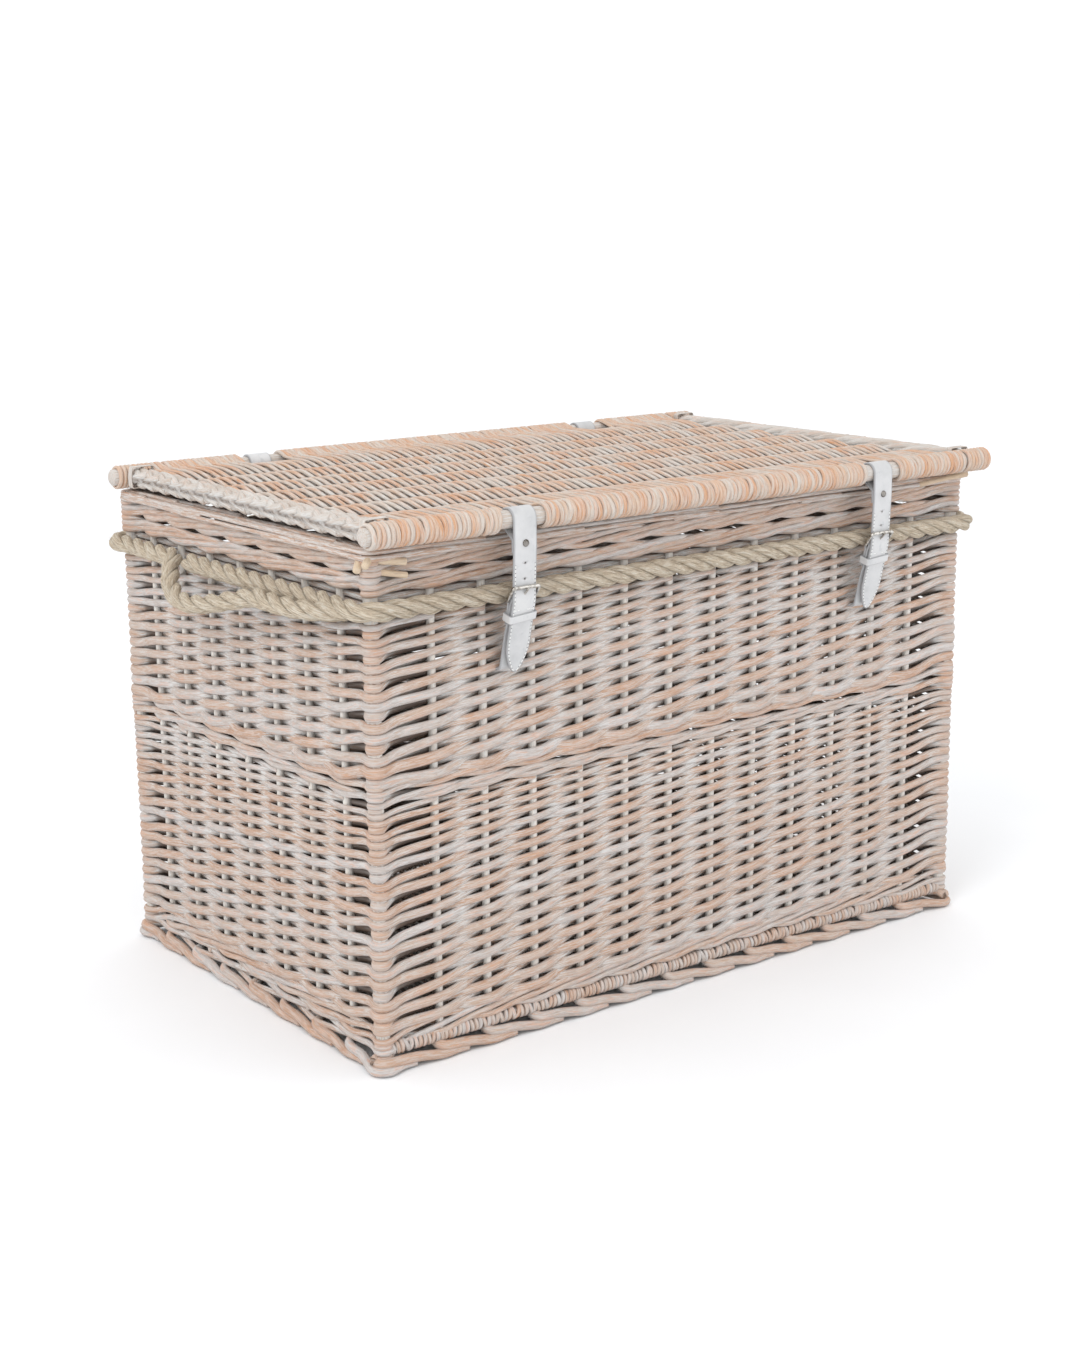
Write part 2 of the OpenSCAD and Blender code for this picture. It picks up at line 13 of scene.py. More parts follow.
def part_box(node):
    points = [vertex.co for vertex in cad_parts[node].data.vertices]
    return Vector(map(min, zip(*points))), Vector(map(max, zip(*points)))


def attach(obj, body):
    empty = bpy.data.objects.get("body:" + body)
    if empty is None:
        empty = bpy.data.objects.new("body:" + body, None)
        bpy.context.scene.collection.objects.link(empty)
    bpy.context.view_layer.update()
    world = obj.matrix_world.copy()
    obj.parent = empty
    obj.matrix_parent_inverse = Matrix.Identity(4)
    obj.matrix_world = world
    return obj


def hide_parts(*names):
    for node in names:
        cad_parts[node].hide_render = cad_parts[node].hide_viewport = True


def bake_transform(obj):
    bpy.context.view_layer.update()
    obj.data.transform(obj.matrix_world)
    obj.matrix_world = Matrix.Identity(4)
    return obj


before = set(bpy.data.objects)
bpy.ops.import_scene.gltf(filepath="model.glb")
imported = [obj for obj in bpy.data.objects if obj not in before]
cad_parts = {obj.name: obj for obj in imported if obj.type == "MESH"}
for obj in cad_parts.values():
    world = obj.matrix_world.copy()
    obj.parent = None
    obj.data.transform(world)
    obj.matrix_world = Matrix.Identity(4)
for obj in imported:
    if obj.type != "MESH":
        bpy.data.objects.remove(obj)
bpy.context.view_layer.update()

MM = 0.001
UP = np.array([0.0, 0.0, 1.0])
ACROSS = np.array([1.0, 0.0, 0.0])
BACKWARDS = np.array([0.0, 1.0, 0.0])


def node_box(*names):
    """Lowest and highest corner of some CAD nodes together, in millimetres."""
    lows, highs = zip(*(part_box(name) for name in names))
    return np.min(lows, axis=0) / MM, np.max(highs, axis=0) / MM


# ---- sizes that the looks share with the frame ----

POST_R = 7.0
FRONT_STAKES = 12
FRONT_GAP = 57.0
END_STAKES = 7
END_GAP = 62.0
ROPE_R = 9.7

posts_low, posts_high = node_box("corner_posts")
LINE_X = posts_high[0] - POST_R
LINE_FRONT = posts_low[1] + POST_R
LINE_BACK = posts_high[1] - POST_R
MID_Y = (LINE_FRONT + LINE_BACK) / 2
HALF_Y = (LINE_BACK - LINE_FRONT) / 2
STAKE_R = node_box("side_stakes")[1][0] - LINE_X
walls_low, walls_high = node_box("lower_siding")
FRONT_Y = walls_low[1]
BACK_Y = walls_high[1]
WALL = 2 * (BACK_Y - LINE_BACK)
RIM_TOP = node_box("rim_border")[1][2]


# ---- paths and directions ----

def unit(v):
    v = np.asarray(v, float)
    return v / np.linalg.norm(v, axis=-1, keepdims=True)


def distances(path):
    """How far along a path each of its points lies."""
    return np.concatenate([[0], np.cumsum(np.linalg.norm(np.diff(path, axis=0), axis=1))])


def resample(path, at):
    """A path's points at some distances along it."""
    along = distances(path)
    return np.column_stack([np.interp(at, along, path[:, k]) for k in range(path.shape[1])])


def tangents(path, closed=False):
    if closed:
        return unit(np.roll(path, -1, axis=0) - np.roll(path, 1, axis=0))
    return unit(np.gradient(path, axis=0))


def directions(path, reference, closed=False):
    """A path's tangents, and two directions across it: square to the reference, and towards it."""
    tangent = tangents(path, closed)
    side = unit(np.cross(tangent, reference))
    return tangent, side, np.cross(side, tangent)


def smooth(points, spacing):
    """A centripetal Catmull-Rom curve through points, with steps of about the spacing."""
    p = np.asarray(points, float)
    p = np.vstack([2 * p[0] - p[1], p, 2 * p[-1] - p[-2]])
    gaps = np.linalg.norm(np.diff(p, axis=0), axis=1)
    t = np.concatenate([[0], np.cumsum(np.sqrt(np.maximum(gaps, 1e-6)))])
    pieces = []
    for i in range(1, len(p) - 2):
        steps = max(2, int(round(gaps[i] / spacing)))
        u = np.linspace(t[i], t[i + 1], steps, endpoint=False)[:, None]

        def between(low, high, a, b):
            return (t[high] - u) / (t[high] - t[low]) * a + (u - t[low]) / (t[high] - t[low]) * b

        a = [between(k, k + 1, p[k], p[k + 1]) for k in (i - 1, i, i + 1)]
        b = [between(k, k + 2, a[n], a[n + 1]) for n, k in enumerate((i - 1, i))]
        pieces.append(between(i, i + 1, b[0], b[1]))
    pieces.append(p[-2][None])
    return np.vstack(pieces)


def soften(points, spacing, reach, closed=False):
    """A path through points with even steps and its corners rounded over about the reach."""
    p = np.asarray(points, float)
    if closed:
        p = np.vstack([p, p[:1]])
    long = distances(p)[-1]
    count = max(4, int(long / spacing))
    p = resample(p, np.linspace(0, long, count, endpoint=not closed))
    for _ in range(max(1, int((reach / spacing) ** 2 / 2))):
        before = np.roll(p, 1, axis=0)
        after = np.roll(p, -1, axis=0)
        if not closed:
            before[0], after[0], before[-1], after[-1] = p[0], p[0], p[-1], p[-1]
        p = (before + 2 * p + after) / 4
    return p


# ---- camera ----

CAMERA_AZIMUTH = -36.742
CAMERA_ELEVATION = 13.381
CAMERA_ROLL = -0.616
CAMERA_DISTANCE = 2288.1
CAMERA_AIM = np.array([-19.26, 0.0, 289.58])
CAMERA_LENS = 55.73


def make_camera():
    azimuth, elevation, roll = np.radians([CAMERA_AZIMUTH, CAMERA_ELEVATION, CAMERA_ROLL])
    back = np.array([
        math.sin(azimuth) * math.cos(elevation),
        -math.cos(azimuth) * math.cos(elevation),
        math.sin(elevation),
    ])
    level = unit(np.cross(-back, UP))
    upright_way = np.cross(level, -back)
    right = level * math.cos(roll) + upright_way * math.sin(roll)
    up = upright_way * math.cos(roll) - level * math.sin(roll)
    data = bpy.data.cameras.new("camera")
    data.sensor_fit = "AUTO"
    data.sensor_width = 36.0
    data.lens = CAMERA_LENS
    data.clip_start = 0.05
    data.clip_end = 100.0
    camera = bpy.data.objects.new("camera", data)
    bpy.context.scene.collection.objects.link(camera)
    place = np.eye(4)
    place[:3] = np.column_stack([right, up, back, (CAMERA_AIM + back * CAMERA_DISTANCE) * MM])
    camera.matrix_world = Matrix(place)
    bpy.context.scene.camera = camera


# ---- floor and light ----

def make_stage():
    reach = 40.0
    mesh = bpy.data.meshes.new("floor")
    corners = [(-reach, -reach, 0), (reach, -reach, 0), (reach, reach, 0), (-reach, reach, 0)]
    mesh.from_pydata(corners, [], [(0, 1, 2, 3)])
    floor = bpy.data.objects.new("floor", mesh)
    bpy.context.scene.collection.objects.link(floor)
    sheet = Shader("floor_paper")
    mottle = sheet.noise(sheet.object_place(), scale=3.0, detail=2.0)
    pale = sheet.ramp(mottle, [(0.3, (0.895, 0.91, 0.93)), (0.7, (0.92, 0.935, 0.955))])
    mesh.materials.append(sheet.finish(Base_Color=pale, Roughness=0.9))

    world = bpy.data.worlds.new("studio")
    bpy.context.scene.world = world
    world.use_nodes = True
    background = world.node_tree.nodes["Background"]
    background.inputs["Color"].default_value = (1.0, 1.0, 1.0, 1.0)
    background.inputs["Strength"].default_value = 1.13
    bpy.context.scene.view_settings.view_transform = "Standard"

    for name, place, size, power in (
        ("key", (-2.8, -1.4, 2.8), 1.6, 36.0),
        ("fill", (2.4, -2.8, 1.1), 2.2, 11.0),
    ):
        light = bpy.data.lights.new(name, "AREA")
        light.shape = "DISK"
        light.size = size
        light.energy = power
        lamp = bpy.data.objects.new(name, light)
        bpy.context.scene.collection.objects.link(lamp)
        lamp.location = place
        aim = Vector((0, 0, 0.25)) - Vector(place)
        lamp.rotation_euler = aim.to_track_quat("-Z", "Y").to_euler()


# ---- materials ----

def srgb(red, green, blue):
    """A screen colour from 0 to 255 as the linear numbers that shaders take."""
    return tuple(
        c / 12.92 if c <= 0.04045 else ((c + 0.055) / 1.055) ** 2.4
        for c in (red / 255, green / 255, blue / 255)
    )


class Shader:
    """A material and a short way to write its nodes."""

    def __init__(self, name):
        self.material = bpy.data.materials.new(name)
        self.material.use_nodes = True
        self.tree = self.material.node_tree
        self.surface = self.tree.nodes["Principled BSDF"]

    def node(self, kind, inputs=(), **settings):
        made = self.tree.nodes.new(kind)
        for key, value in settings.items():
            setattr(made, key, value)
        for key, value in dict(inputs).items():
            self.put(made.inputs[key], value)
        return made

    def put(self, socket, value):
        if isinstance(value, bpy.types.NodeSocket):
            self.tree.links.new(value, socket)
        elif isinstance(value, tuple) and len(value) == 3 and socket.type == "RGBA":
            socket.default_value = (*value, 1.0)
        else:
            socket.default_value = value

    def object_place(self):
        return self.node("ShaderNodeTexCoord").outputs["Object"]

    def attribute(self, name, output="Fac"):
        return self.node("ShaderNodeAttribute", attribute_name=name).outputs[output]

    def scaled(self, vector, scale):
        return self.node("ShaderNodeMapping", {"Vector": vector, "Scale": scale}).outputs[0]

    def noise(self, vector, scale=1.0, detail=3.0, roughness=0.55, distortion=0.0):
        inputs = {
            "Vector": vector, "Scale": scale, "Detail": detail,
            "Roughness": roughness, "Distortion": distortion,
        }
        return self.node("ShaderNodeTexNoise", inputs).outputs["Fac"]

    def math(self, operation, a, b, clamp=False):
        made = self.node("ShaderNodeMath", operation=operation, use_clamp=clamp)
        self.put(made.inputs[0], a)
        self.put(made.inputs[1], b)
        return made.outputs[0]

    def times(self, a, b, clamp=False):
        return self.math("MULTIPLY", a, b, clamp)

    def plus(self, a, b):
        return self.math("ADD", a, b)

    def spread(self, value, low, high, to_low=0.0, to_high=1.0):
        """Eases a value from one range to another and holds it at the ends."""
        inputs = {
            "Value": value, "From Min": low, "From Max": high, "To Min": to_low, "To Max": to_high,
        }
        kind = "ShaderNodeMapRange"
        return self.node(kind, inputs, interpolation_type="SMOOTHSTEP").outputs["Result"]

    def ramp(self, value, stops):
        made = self.node("ShaderNodeValToRGB", {"Fac": value})
        points = made.color_ramp.elements
        while len(points) < len(stops):
            points.new(0.5)
        for point, (place, colour) in zip(points, stops):
            point.position = place
            point.color = (*colour, 1.0)
        return made.outputs["Color"]

    def mix(self, share, a, b):
        made = self.node("ShaderNodeMix", data_type="RGBA")
        self.put(made.inputs["Factor"], share)
        self.put(made.inputs[6], a)
        self.put(made.inputs[7], b)
        return made.outputs[2]

    def bump(self, height, strength, distance):
        inputs = {"Height": height, "Strength": strength, "Distance": distance}
        return self.node("ShaderNodeBump", inputs).outputs["Normal"]

    def finish(self, **sockets):
        """Sets the surface's sockets, named with _ for each space, and gives the material."""
        for key, value in sockets.items():
            self.put(self.surface.inputs[key.replace("_", " ")], value)
        return self.material


BARE_TAN = srgb(202, 144, 104)
WHITEWASH = srgb(211, 212, 211)
WILLOW_FIBRE = srgb(136, 114, 102)
# Painted shade for rods that lie deep in the weave.
WILLOW_PAINTED_SHADE = srgb(98, 82, 72)


def willow(name, palette, wash=0.75, tan=0.5):
    """Willow rods: a tone for each rod, streaks of whitewash, bare tan where worn, and painted shade in the
    crevices of the weave.
    """
    s = Shader(name)
    grain = s.attribute("grain", "Vector")
    worn = s.attribute("worn")
    patches = s.noise(s.scaled(grain, (0.045, 0.26, 0.26)), detail=5.0, roughness=0.66)
    streaks = s.noise(s.scaled(grain, (0.060, 0.95, 0.95)), detail=5.0, roughness=0.68)
    fibres = s.noise(s.scaled(grain, (0.10, 2.4, 2.4)), detail=3.0, roughness=0.6)
    drift = s.times(s.math("SUBTRACT", patches, 0.5), 2.0)
    shifted = s.plus(s.times(s.attribute("tone"), 0.8), drift)
    stops = [(k / (len(palette) - 1), colour) for k, colour in enumerate(palette)]
    colour = s.ramp(s.plus(shifted, 0.1), stops)
    bare = s.times(s.spread(patches, 0.51, 0.59), s.plus(s.times(worn, 0.75), 0.25))
    colour = s.mix(s.times(bare, tan), colour, BARE_TAN)
    kept = s.math("SUBTRACT", 1.3, s.times(worn, 0.8))
    washed = s.times(s.times(s.spread(streaks, 0.46, 0.54), wash), kept, clamp=True)
    colour = s.mix(washed, colour, WHITEWASH)
    colour = s.mix(s.times(s.spread(fibres, 0.55, 0.66), 0.5), colour, WILLOW_FIBRE)
    return s.finish(
        # Painted shade: the colour turns dark brown where the rods lie deep in the weave.
        Base_Color=s.mix(s.spread(s.attribute("open"), 0.0, 1.0), WILLOW_PAINTED_SHADE, colour),
        Roughness=s.spread(streaks, 0.3, 0.7, 0.60, 0.78),
        Normal=s.bump(s.plus(streaks, s.times(fibres, 0.5)), 0.6, 0.0006),
        Specular_IOR_Level=0.35,
    )


def hemp(name):
    """Rope fibres: pale straw with grey strands, and painted shade between the strands."""
    s = Shader(name)
    grain = s.attribute("grain", "Vector")
    yarns = s.noise(s.scaled(grain, (0.10, 0.9, 0.9)), detail=4.0, roughness=0.65)
    fibres = s.noise(s.scaled(grain, (0.35, 3.5, 3.5)), detail=3.0, roughness=0.7)
    stops = [(0.34, srgb(190, 170, 145)), (0.5, srgb(232, 216, 192)), (0.64, srgb(248, 240, 225))]
    colour = s.mix(s.times(s.spread(fibres, 0.52, 0.70), 0.45), s.ramp(yarns, stops), srgb(150, 130, 108))
    return s.finish(
        # Painted shade: darker brown where the rope's strands meet.
        Base_Color=s.mix(s.spread(s.attribute("open"), 0.0, 1.0), srgb(126, 108, 92), colour),
        Roughness=0.88,
        Normal=s.bump(s.plus(s.times(yarns, 1.6), fibres), 1.0, 0.0020),
        Specular_IOR_Level=0.2,
    )


def leather_white(name):
    """White leather: a fine pebbled grain, faint creases and slightly grey wear."""
    s = Shader(name)
    place = s.object_place()
    pebble = s.node("ShaderNodeTexVoronoi", {"Vector": place, "Scale": 900.0}).outputs["Distance"]
    creases = s.noise(place, scale=140.0, detail=5.0, roughness=0.6, distortion=0.6)
    wear = s.noise(place, scale=28.0, detail=4.0, roughness=0.6)
    stops = [(0.32, srgb(186, 187, 188)), (0.55, srgb(202, 202, 203)), (0.75, srgb(210, 210, 210))]
    colour = s.mix(s.times(s.spread(creases, 0.58, 0.70), 0.35), s.ramp(wear, stops), srgb(170, 173, 177))
    return s.finish(
        # Painted shade: the strips' rounded edges are mixed towards a darker grey.
        Base_Color=s.mix(s.times(s.attribute("edge"), 0.8), colour, srgb(150, 151, 154)),
        Roughness=s.spread(creases, 0.3, 0.7, 0.40, 0.56),
        Normal=s.bump(s.plus(pebble, creases), 0.35, 0.0003),
        Specular_IOR_Level=0.45,
    )


def stitch_thread(name):
    """Twisted thread, or painted shade for a needle hole where the tone is 0."""
    s = Shader(name)
    twist = s.noise(s.object_place(), scale=1500.0, detail=2.0)
    colour = s.ramp(twist, [(0.35, srgb(206, 206, 204)), (0.65, srgb(244, 244, 242))])
    colour = s.mix(s.attribute("tone"), srgb(112, 112, 114), colour)
    return s.finish(Base_Color=colour, Roughness=0.7, Normal=s.bump(twist, 0.4, 0.0001))


def nickel_plate(name, dark, bright):
    """Worn nickel: fine scratches and dull patches."""
    s = Shader(name)
    place = s.object_place()
    scratches = s.noise(s.scaled(place, (160.0, 1800.0, 900.0)), detail=3.0, roughness=0.7)
    dull = s.noise(place, scale=220.0, detail=3.0)
    return s.finish(
        Base_Color=s.ramp(dull, [(0.38, dark), (0.60, bright)]),
        Roughness=s.spread(dull, 0.3, 0.7, 0.20, 0.38),
        Normal=s.bump(scratches, 0.25, 0.0001),
        Metallic=1.0,
    )


# ---- swept rods ----

def wall_shade_and_wear(points):
    """How much painted light and how much wear a point of the body gets: deep in the weave it gets painted
    shade and no wear.
    """
    over = np.maximum(np.abs(points[:, 0]) - LINE_X, np.abs(points[:, 1] - MID_Y) - HALF_Y)
    # Painted light: full on the outer face, 0.9 on the inner face, painted shade deep in the weave between
    # them.
    outside = np.clip((over + 4.5) / 5.0, 0.0, 1.0)
    inside = 0.9 * np.clip((-over - 3.5) / 5.0, 0.0, 1.0)
    return np.maximum(outside, inside), np.clip((over - 0.5) / 5.5, 0.0, 1.0)


def plain_wear(points):
    """No painted shade and even wear, for rods that lie free."""
    return np.ones(len(points)), np.full(len(points), 0.5)


def fill(items, key, values, kind=np.float32):
    """Sets one property of all of a mesh's items."""
    items.foreach_set(key, np.asarray(values, kind).ravel())


class Rods:
    """Rods, strands and stitches swept into one mesh."""

    # wear gives each point a painted light share, where low values give painted shade, and how worn it is.
    def __init__(self, seed, wear=plain_wear):
        self.random = np.random.default_rng(seed)
        self.wear = wear
        self.verts = []
        self.quads = []
        self.fans = []
        self.tones = []
        self.grains = []
        self.count = 0

    def add(self, path, radius, tone=None, sides=8, reference=UP, flat=1.0, wave=0.0, ends=True):
        """A rod along a path. flat thins it across the reference, and wave roughens its outline."""
        path = np.asarray(path, float)
        count = len(path)
        radius = np.broadcast_to(np.asarray(radius, float), (count,))
        tangent, side, lift = directions(path, reference)
        if ends:
            bulge = 0.25 * radius[[0, -1], None] * tangent[[0, -1]]
            path = np.vstack([path[0] - bulge[0], path, path[-1] + bulge[1]])
            side, lift = (np.vstack([v[0], v, v[-1]]) for v in (side, lift))
            radius = np.concatenate([[radius[0] * 0.7], radius, [radius[-1] * 0.7]])
            count += 2
        angles = np.arange(sides) * 2 * np.pi / sides
        swing = np.ones((count, sides))
        if wave:
            phase = self.random.uniform(0, 2 * np.pi, 3)
            along = np.linspace(0, 1, count)[:, None] * count * 0.35
            for k, p in enumerate(phase):
                swing += wave / 3 * np.sin(angles[None] * (k + 1) + along * (0.6 + 0.45 * k) + p)
        cos, sin = np.cos(angles), np.sin(angles)
        r = (radius[:, None] * swing)[:, :, None]
        around = cos[None, :, None] * side[:, None] * flat + sin[None, :, None] * lift[:, None]
        start = self.random.uniform(0, 4000, 3)
        grain = np.empty((count, sides, 3))
        grain[:, :, 0] = distances(path)[:, None]
        grain[:, :, 1] = radius[:, None] * cos
        grain[:, :, 2] = radius[:, None] * sin
        tone = self.random.uniform(0, 1) if tone is None else tone
        self.verts.append((path[:, None] + r * around).reshape(-1, 3))
        self.grains.append((grain + start).reshape(-1, 3))
        self.tones.append(np.full(count * sides, tone))
        i = np.arange(count - 1)[:, None] * sides
        k = np.arange(sides)[None]
        k_next = (k + 1) % sides
        base = self.count
        self.quads.append(
            np.stack([base + i + k, base + i + k_next, base + i + sides + k_next, base + i + sides + k], -1)
            .reshape(-1, 4)[:, ::-1]
        )
        self.fans.append(base + np.arange(sides))
        self.fans.append(base + (count - 1) * sides + np.arange(sides)[::-1])
        self.count += count * sides

    def build(self, name, body, material, slot, *nodes):
        verts = np.vstack(self.verts)
        quads = np.vstack(self.quads)
        corners = np.concatenate([quads.ravel(), *self.fans])
        lengths = np.concatenate([np.full(len(quads), 4), [len(f) for f in self.fans]])
        mesh = bpy.data.meshes.new(name)
        mesh.vertices.add(len(verts))
        mesh.loops.add(len(corners))
        mesh.polygons.add(len(lengths))
        fill(mesh.vertices, "co", verts * MM)
        fill(mesh.loops, "vertex_index", corners, np.int32)
        fill(mesh.polygons, "loop_start", np.concatenate([[0], np.cumsum(lengths)[:-1]]), np.int32)
        fill(mesh.polygons, "loop_total", lengths, np.int32)
        fill(mesh.polygons, "use_smooth", np.ones(len(lengths)), bool)
        mesh.update(calc_edges=True)
        # The first value paints shade where it is low; the second is wear.
        openness, worn = self.wear(verts)
        for key, values in (("tone", np.concatenate(self.tones)), ("open", openness), ("worn", worn)):
            fill(mesh.attributes.new(key, "FLOAT", "POINT").data, "value", values)
        fill(mesh.attributes.new("grain", "FLOAT_VECTOR", "POINT").data, "vector", np.vstack(self.grains))
        mesh.validate()
        return place_piece(name, mesh, body, material, slot, *nodes)


def place_piece(name, mesh, body, material, slot, *nodes):
    """Links a finished mesh, gives it its material and lets it ride on its body."""
    piece = bpy.data.objects.new(name, mesh)
    bpy.context.scene.collection.objects.link(piece)
    mesh.materials.clear()
    mesh.materials.append(material)
    if body:
        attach(piece, body)
    if nodes:
        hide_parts(*nodes)
    return piece


class Solids:
    """Leather strips, wires and turned heads collected into one mesh."""

    def __init__(self):
        self.verts = []
        self.faces = []
        self.edges = []
        self.count = 0

    def sweep(self, rings, edge, closed=False):
        """Skins a row of rings, each a list of points, and closes its ends unless it is a loop."""
        rings = np.asarray(rings, float)
        count, sides = rings.shape[:2]
        base = self.count
        self.verts.append(rings.reshape(-1, 3))
        self.edges.append(np.tile(edge, count))
        for i in range(count if closed else count - 1):
            here, there = base + i * sides, base + (i + 1) % count * sides
            for k in range(sides):
                n = (k + 1) % sides
                self.faces.append((here + k, there + k, there + n, here + n))
        if not closed:
            self.faces.append(tuple(base + k for k in range(sides)))
            self.faces.append(tuple(base + (count - 1) * sides + k for k in reversed(range(sides))))
        self.count += count * sides

    def strip(self, path, across, widths, thickness, closed=False):
        """A flat strip with rounded edges. across is the direction of its width."""
        path = np.asarray(path, float)
        across = unit(across)
        normal = np.cross(across, tangents(path, closed))
        half = np.broadcast_to(np.asarray(widths, float) / 2, (len(path),))[:, None, None]
        t = thickness / 2
        turn = np.radians(np.arange(-75, 90, 30))
        flats = np.array([-0.85, -0.4, 0.0, 0.4, 0.85])
        inset = np.tile([*(0 * flats), *(1 - np.cos(turn))], 2)
        lean = np.array([*flats, *(0 * turn + 1), *flats[::-1], *(0 * turn - 1)])
        high = np.array([*(0 * flats - 1), *np.sin(turn), *(0 * flats + 1), *-np.sin(turn)])
        wide = lean[None, :, None] * half - np.sign(lean)[None, :, None] * inset[None, :, None] * t * 0.7
        rings = path[:, None] + wide * across + high[None, :, None] * t * normal[:, None]
        self.sweep(rings, (np.abs(lean) == 1).astype(float), closed)

    def wire(self, path, radii, up, sides=14, closed=False):
        """A round or oval wire. radii holds its half width and half height across up."""
        path = np.asarray(path, float)
        _, side, lift = directions(path, up, closed)
        a = np.arange(sides) * 2 * np.pi / sides
        rings = path[:, None] + (
            radii[:, 0, None, None] * np.cos(a)[None, :, None] * side[:, None]
            + radii[:, 1, None, None] * np.sin(a)[None, :, None] * lift[:, None]
        )
        self.sweep(rings, np.zeros(sides), closed)

    def turned(self, place, axis, profile, sides=28):
        """A turned head. profile holds (radius, height) from its rim to its crown."""
        axis = unit(axis)
        side = unit(np.cross(axis, ACROSS if abs(axis[0]) < 0.9 else UP))
        lift = np.cross(axis, side)
        a = -np.arange(sides) * 2 * np.pi / sides
        around = np.cos(a)[:, None] * side + np.sin(a)[:, None] * lift
        self.sweep([np.asarray(place) + h * axis + r * around for r, h in profile], np.zeros(sides))

    def mesh(self, name):
        mesh = bpy.data.meshes.new(name)
        mesh.from_pydata([tuple(v) for v in np.vstack(self.verts) * MM], [], self.faces)
        fill(mesh.polygons, "use_smooth", np.ones(len(mesh.polygons)), bool)
        # The edge attribute marks the strips' rounded edges, where the leather gets painted shade.
        fill(mesh.attributes.new("edge", "FLOAT", "POINT").data, "value", np.concatenate(self.edges))
        mesh.validate()
        mesh.update(calc_edges=True)
        return mesh

    def build(self, name, body, material, slot, node, cutters=None):
        mesh = self.mesh(name)
        if cutters:
            mesh = cut(mesh, cutters)
        place_piece(name, mesh, body, material, slot, node)


def cut(mesh, cutters):
    """The mesh with some closed cutter solids taken away."""
    target = bpy.data.objects.new("cut_target", mesh)
    tool = bpy.data.objects.new("cut_tool", cutters.mesh("cut_tool"))
    for item in (target, tool):
        bpy.context.scene.collection.objects.link(item)
    bite = target.modifiers.new("bite", "BOOLEAN")
    bite.operation = "DIFFERENCE"
    bite.solver = "EXACT"
    bite.object = tool
    graph = bpy.context.evaluated_depsgraph_get()
    result = bpy.data.meshes.new_from_object(target.evaluated_get(graph))
    for item in (target, tool):
        bpy.data.objects.remove(item)
    return result


# ---- uprights ----

class Upright:
    """A stake or corner post, with the outward directions of the faces that meet at it."""

    def __init__(self, x, y, radius, before, after):
        self.place = np.array([x, y])
        self.radius = radius
        self.faces = [np.array(before, float), np.array(after, float)]
        self.is_post = before != after

    def crossing(self, outside, clear):
        """Plan points where a rod passes this upright."""
        reach = self.radius + clear
        middle = unit(self.faces[0] + self.faces[1])
        if self.is_post and outside:
            return [self.place + reach * n for n in (self.faces[0], middle, self.faces[1])]
        return [self.place + (reach if outside else -reach) * middle]


def make_uprights():
    """Stakes and posts in order to the right round the body, from the front left post."""
    front = (np.arange(FRONT_STAKES) - (FRONT_STAKES - 1) / 2) * FRONT_GAP
    end = MID_Y + (np.arange(END_STAKES) - (END_STAKES - 1) / 2) * END_GAP
    south, east, north, west = (0, -1), (1, 0), (0, 1), (-1, 0)
    made = [Upright(-LINE_X, LINE_FRONT, POST_R, west, south)]
    made += [Upright(x, LINE_FRONT, STAKE_R, south, south) for x in front]
    made += [Upright(LINE_X, LINE_FRONT, POST_R, south, east)]
    made += [Upright(LINE_X, y, STAKE_R, east, east) for y in end]
    made += [Upright(LINE_X, LINE_BACK, POST_R, east, north)]
    made += [Upright(x, LINE_BACK, STAKE_R, north, north) for x in front[::-1]]
    made += [Upright(-LINE_X, LINE_BACK, POST_R, north, west)]
    made += [Upright(-LINE_X, y, STAKE_R, west, west) for y in end[::-1]]
    return made


UPRIGHTS = make_uprights()
ROUND = len(UPRIGHTS)
SHOWN_STAKE_R = 4.1


def upright(number):
    return UPRIGHTS[number % ROUND]


# ---- walls ----

# A rod's thickness as a share of its height, and how far it beds into what it passes.
ROD_FLAT = 0.66
NESTLE = 1.5
POST_NESTLE = 4.2
LEFT_OUTSIDE_POST = 2.4


def post_turn(here, there, z, z_next, face, deep):
    """Two points between a post and the next upright, where a rod leaves the post or comes to it.

    deep is 0 for a rod that stays outside, or else how deep the rod is that goes behind.
    """
    post, far, z_post, z_far = (here, there, z, z_next) if here.is_post else (there, here, z_next, z)
    along = unit(far.place - post.place)
    z_after = z_post + (z_far - z_post) * 0.25
    if deep:
        near = post.place + along * (POST_R + 2.0)
        after = post.place + along * (POST_R + 11.0) - face * (deep + 2.0)
    else:
        near = post.place + along * (POST_R + 1.0) + face * POST_R * 0.62
        after = post.place + along * (POST_R + 13.0) + face * 1.5
    turn = [(*near, z_post), (*after, z_after)]
    return turn if here.is_post else turn[::-1]


def weave_path(first, stops, spacing=7.0):
    """A path to the right round the body from upright number first.

    stops holds one (outside, height, rod radius) for each upright passed.
    """
    points = []
    for m, (outside, z, r) in enumerate(stops):
        here, there = upright(first + m), upright(first + m + 1)
        deep = r * ROD_FLAT
        nestle = min(POST_NESTLE, 2 * deep - LEFT_OUTSIDE_POST) if here.is_post else NESTLE
        points += [(*p, z) for p in here.crossing(outside, deep - nestle)]
        if m + 1 == len(stops):
            break
        outside_next, z_next, _ = stops[m + 1]
        same_side = outside == outside_next
        face = here.faces[1]
        if (here.is_post or there.is_post) and (outside or not same_side):
            points += post_turn(here, there, z, z_next, face, 0.0 if same_side else deep)
            continue
        middle = (here.place + there.place) / 2
        if same_side:
            middle = middle + face * (deep + 1.0) * (1 if outside else -1)
        points.append((*middle, (z + z_next) / 2))
    return smooth(points, spacing)


# A siding rod's radius as a share of the height from row to row, and how much more at a post.
ROD_FULLNESS = 0.65
POST_FULLNESS = 1.06


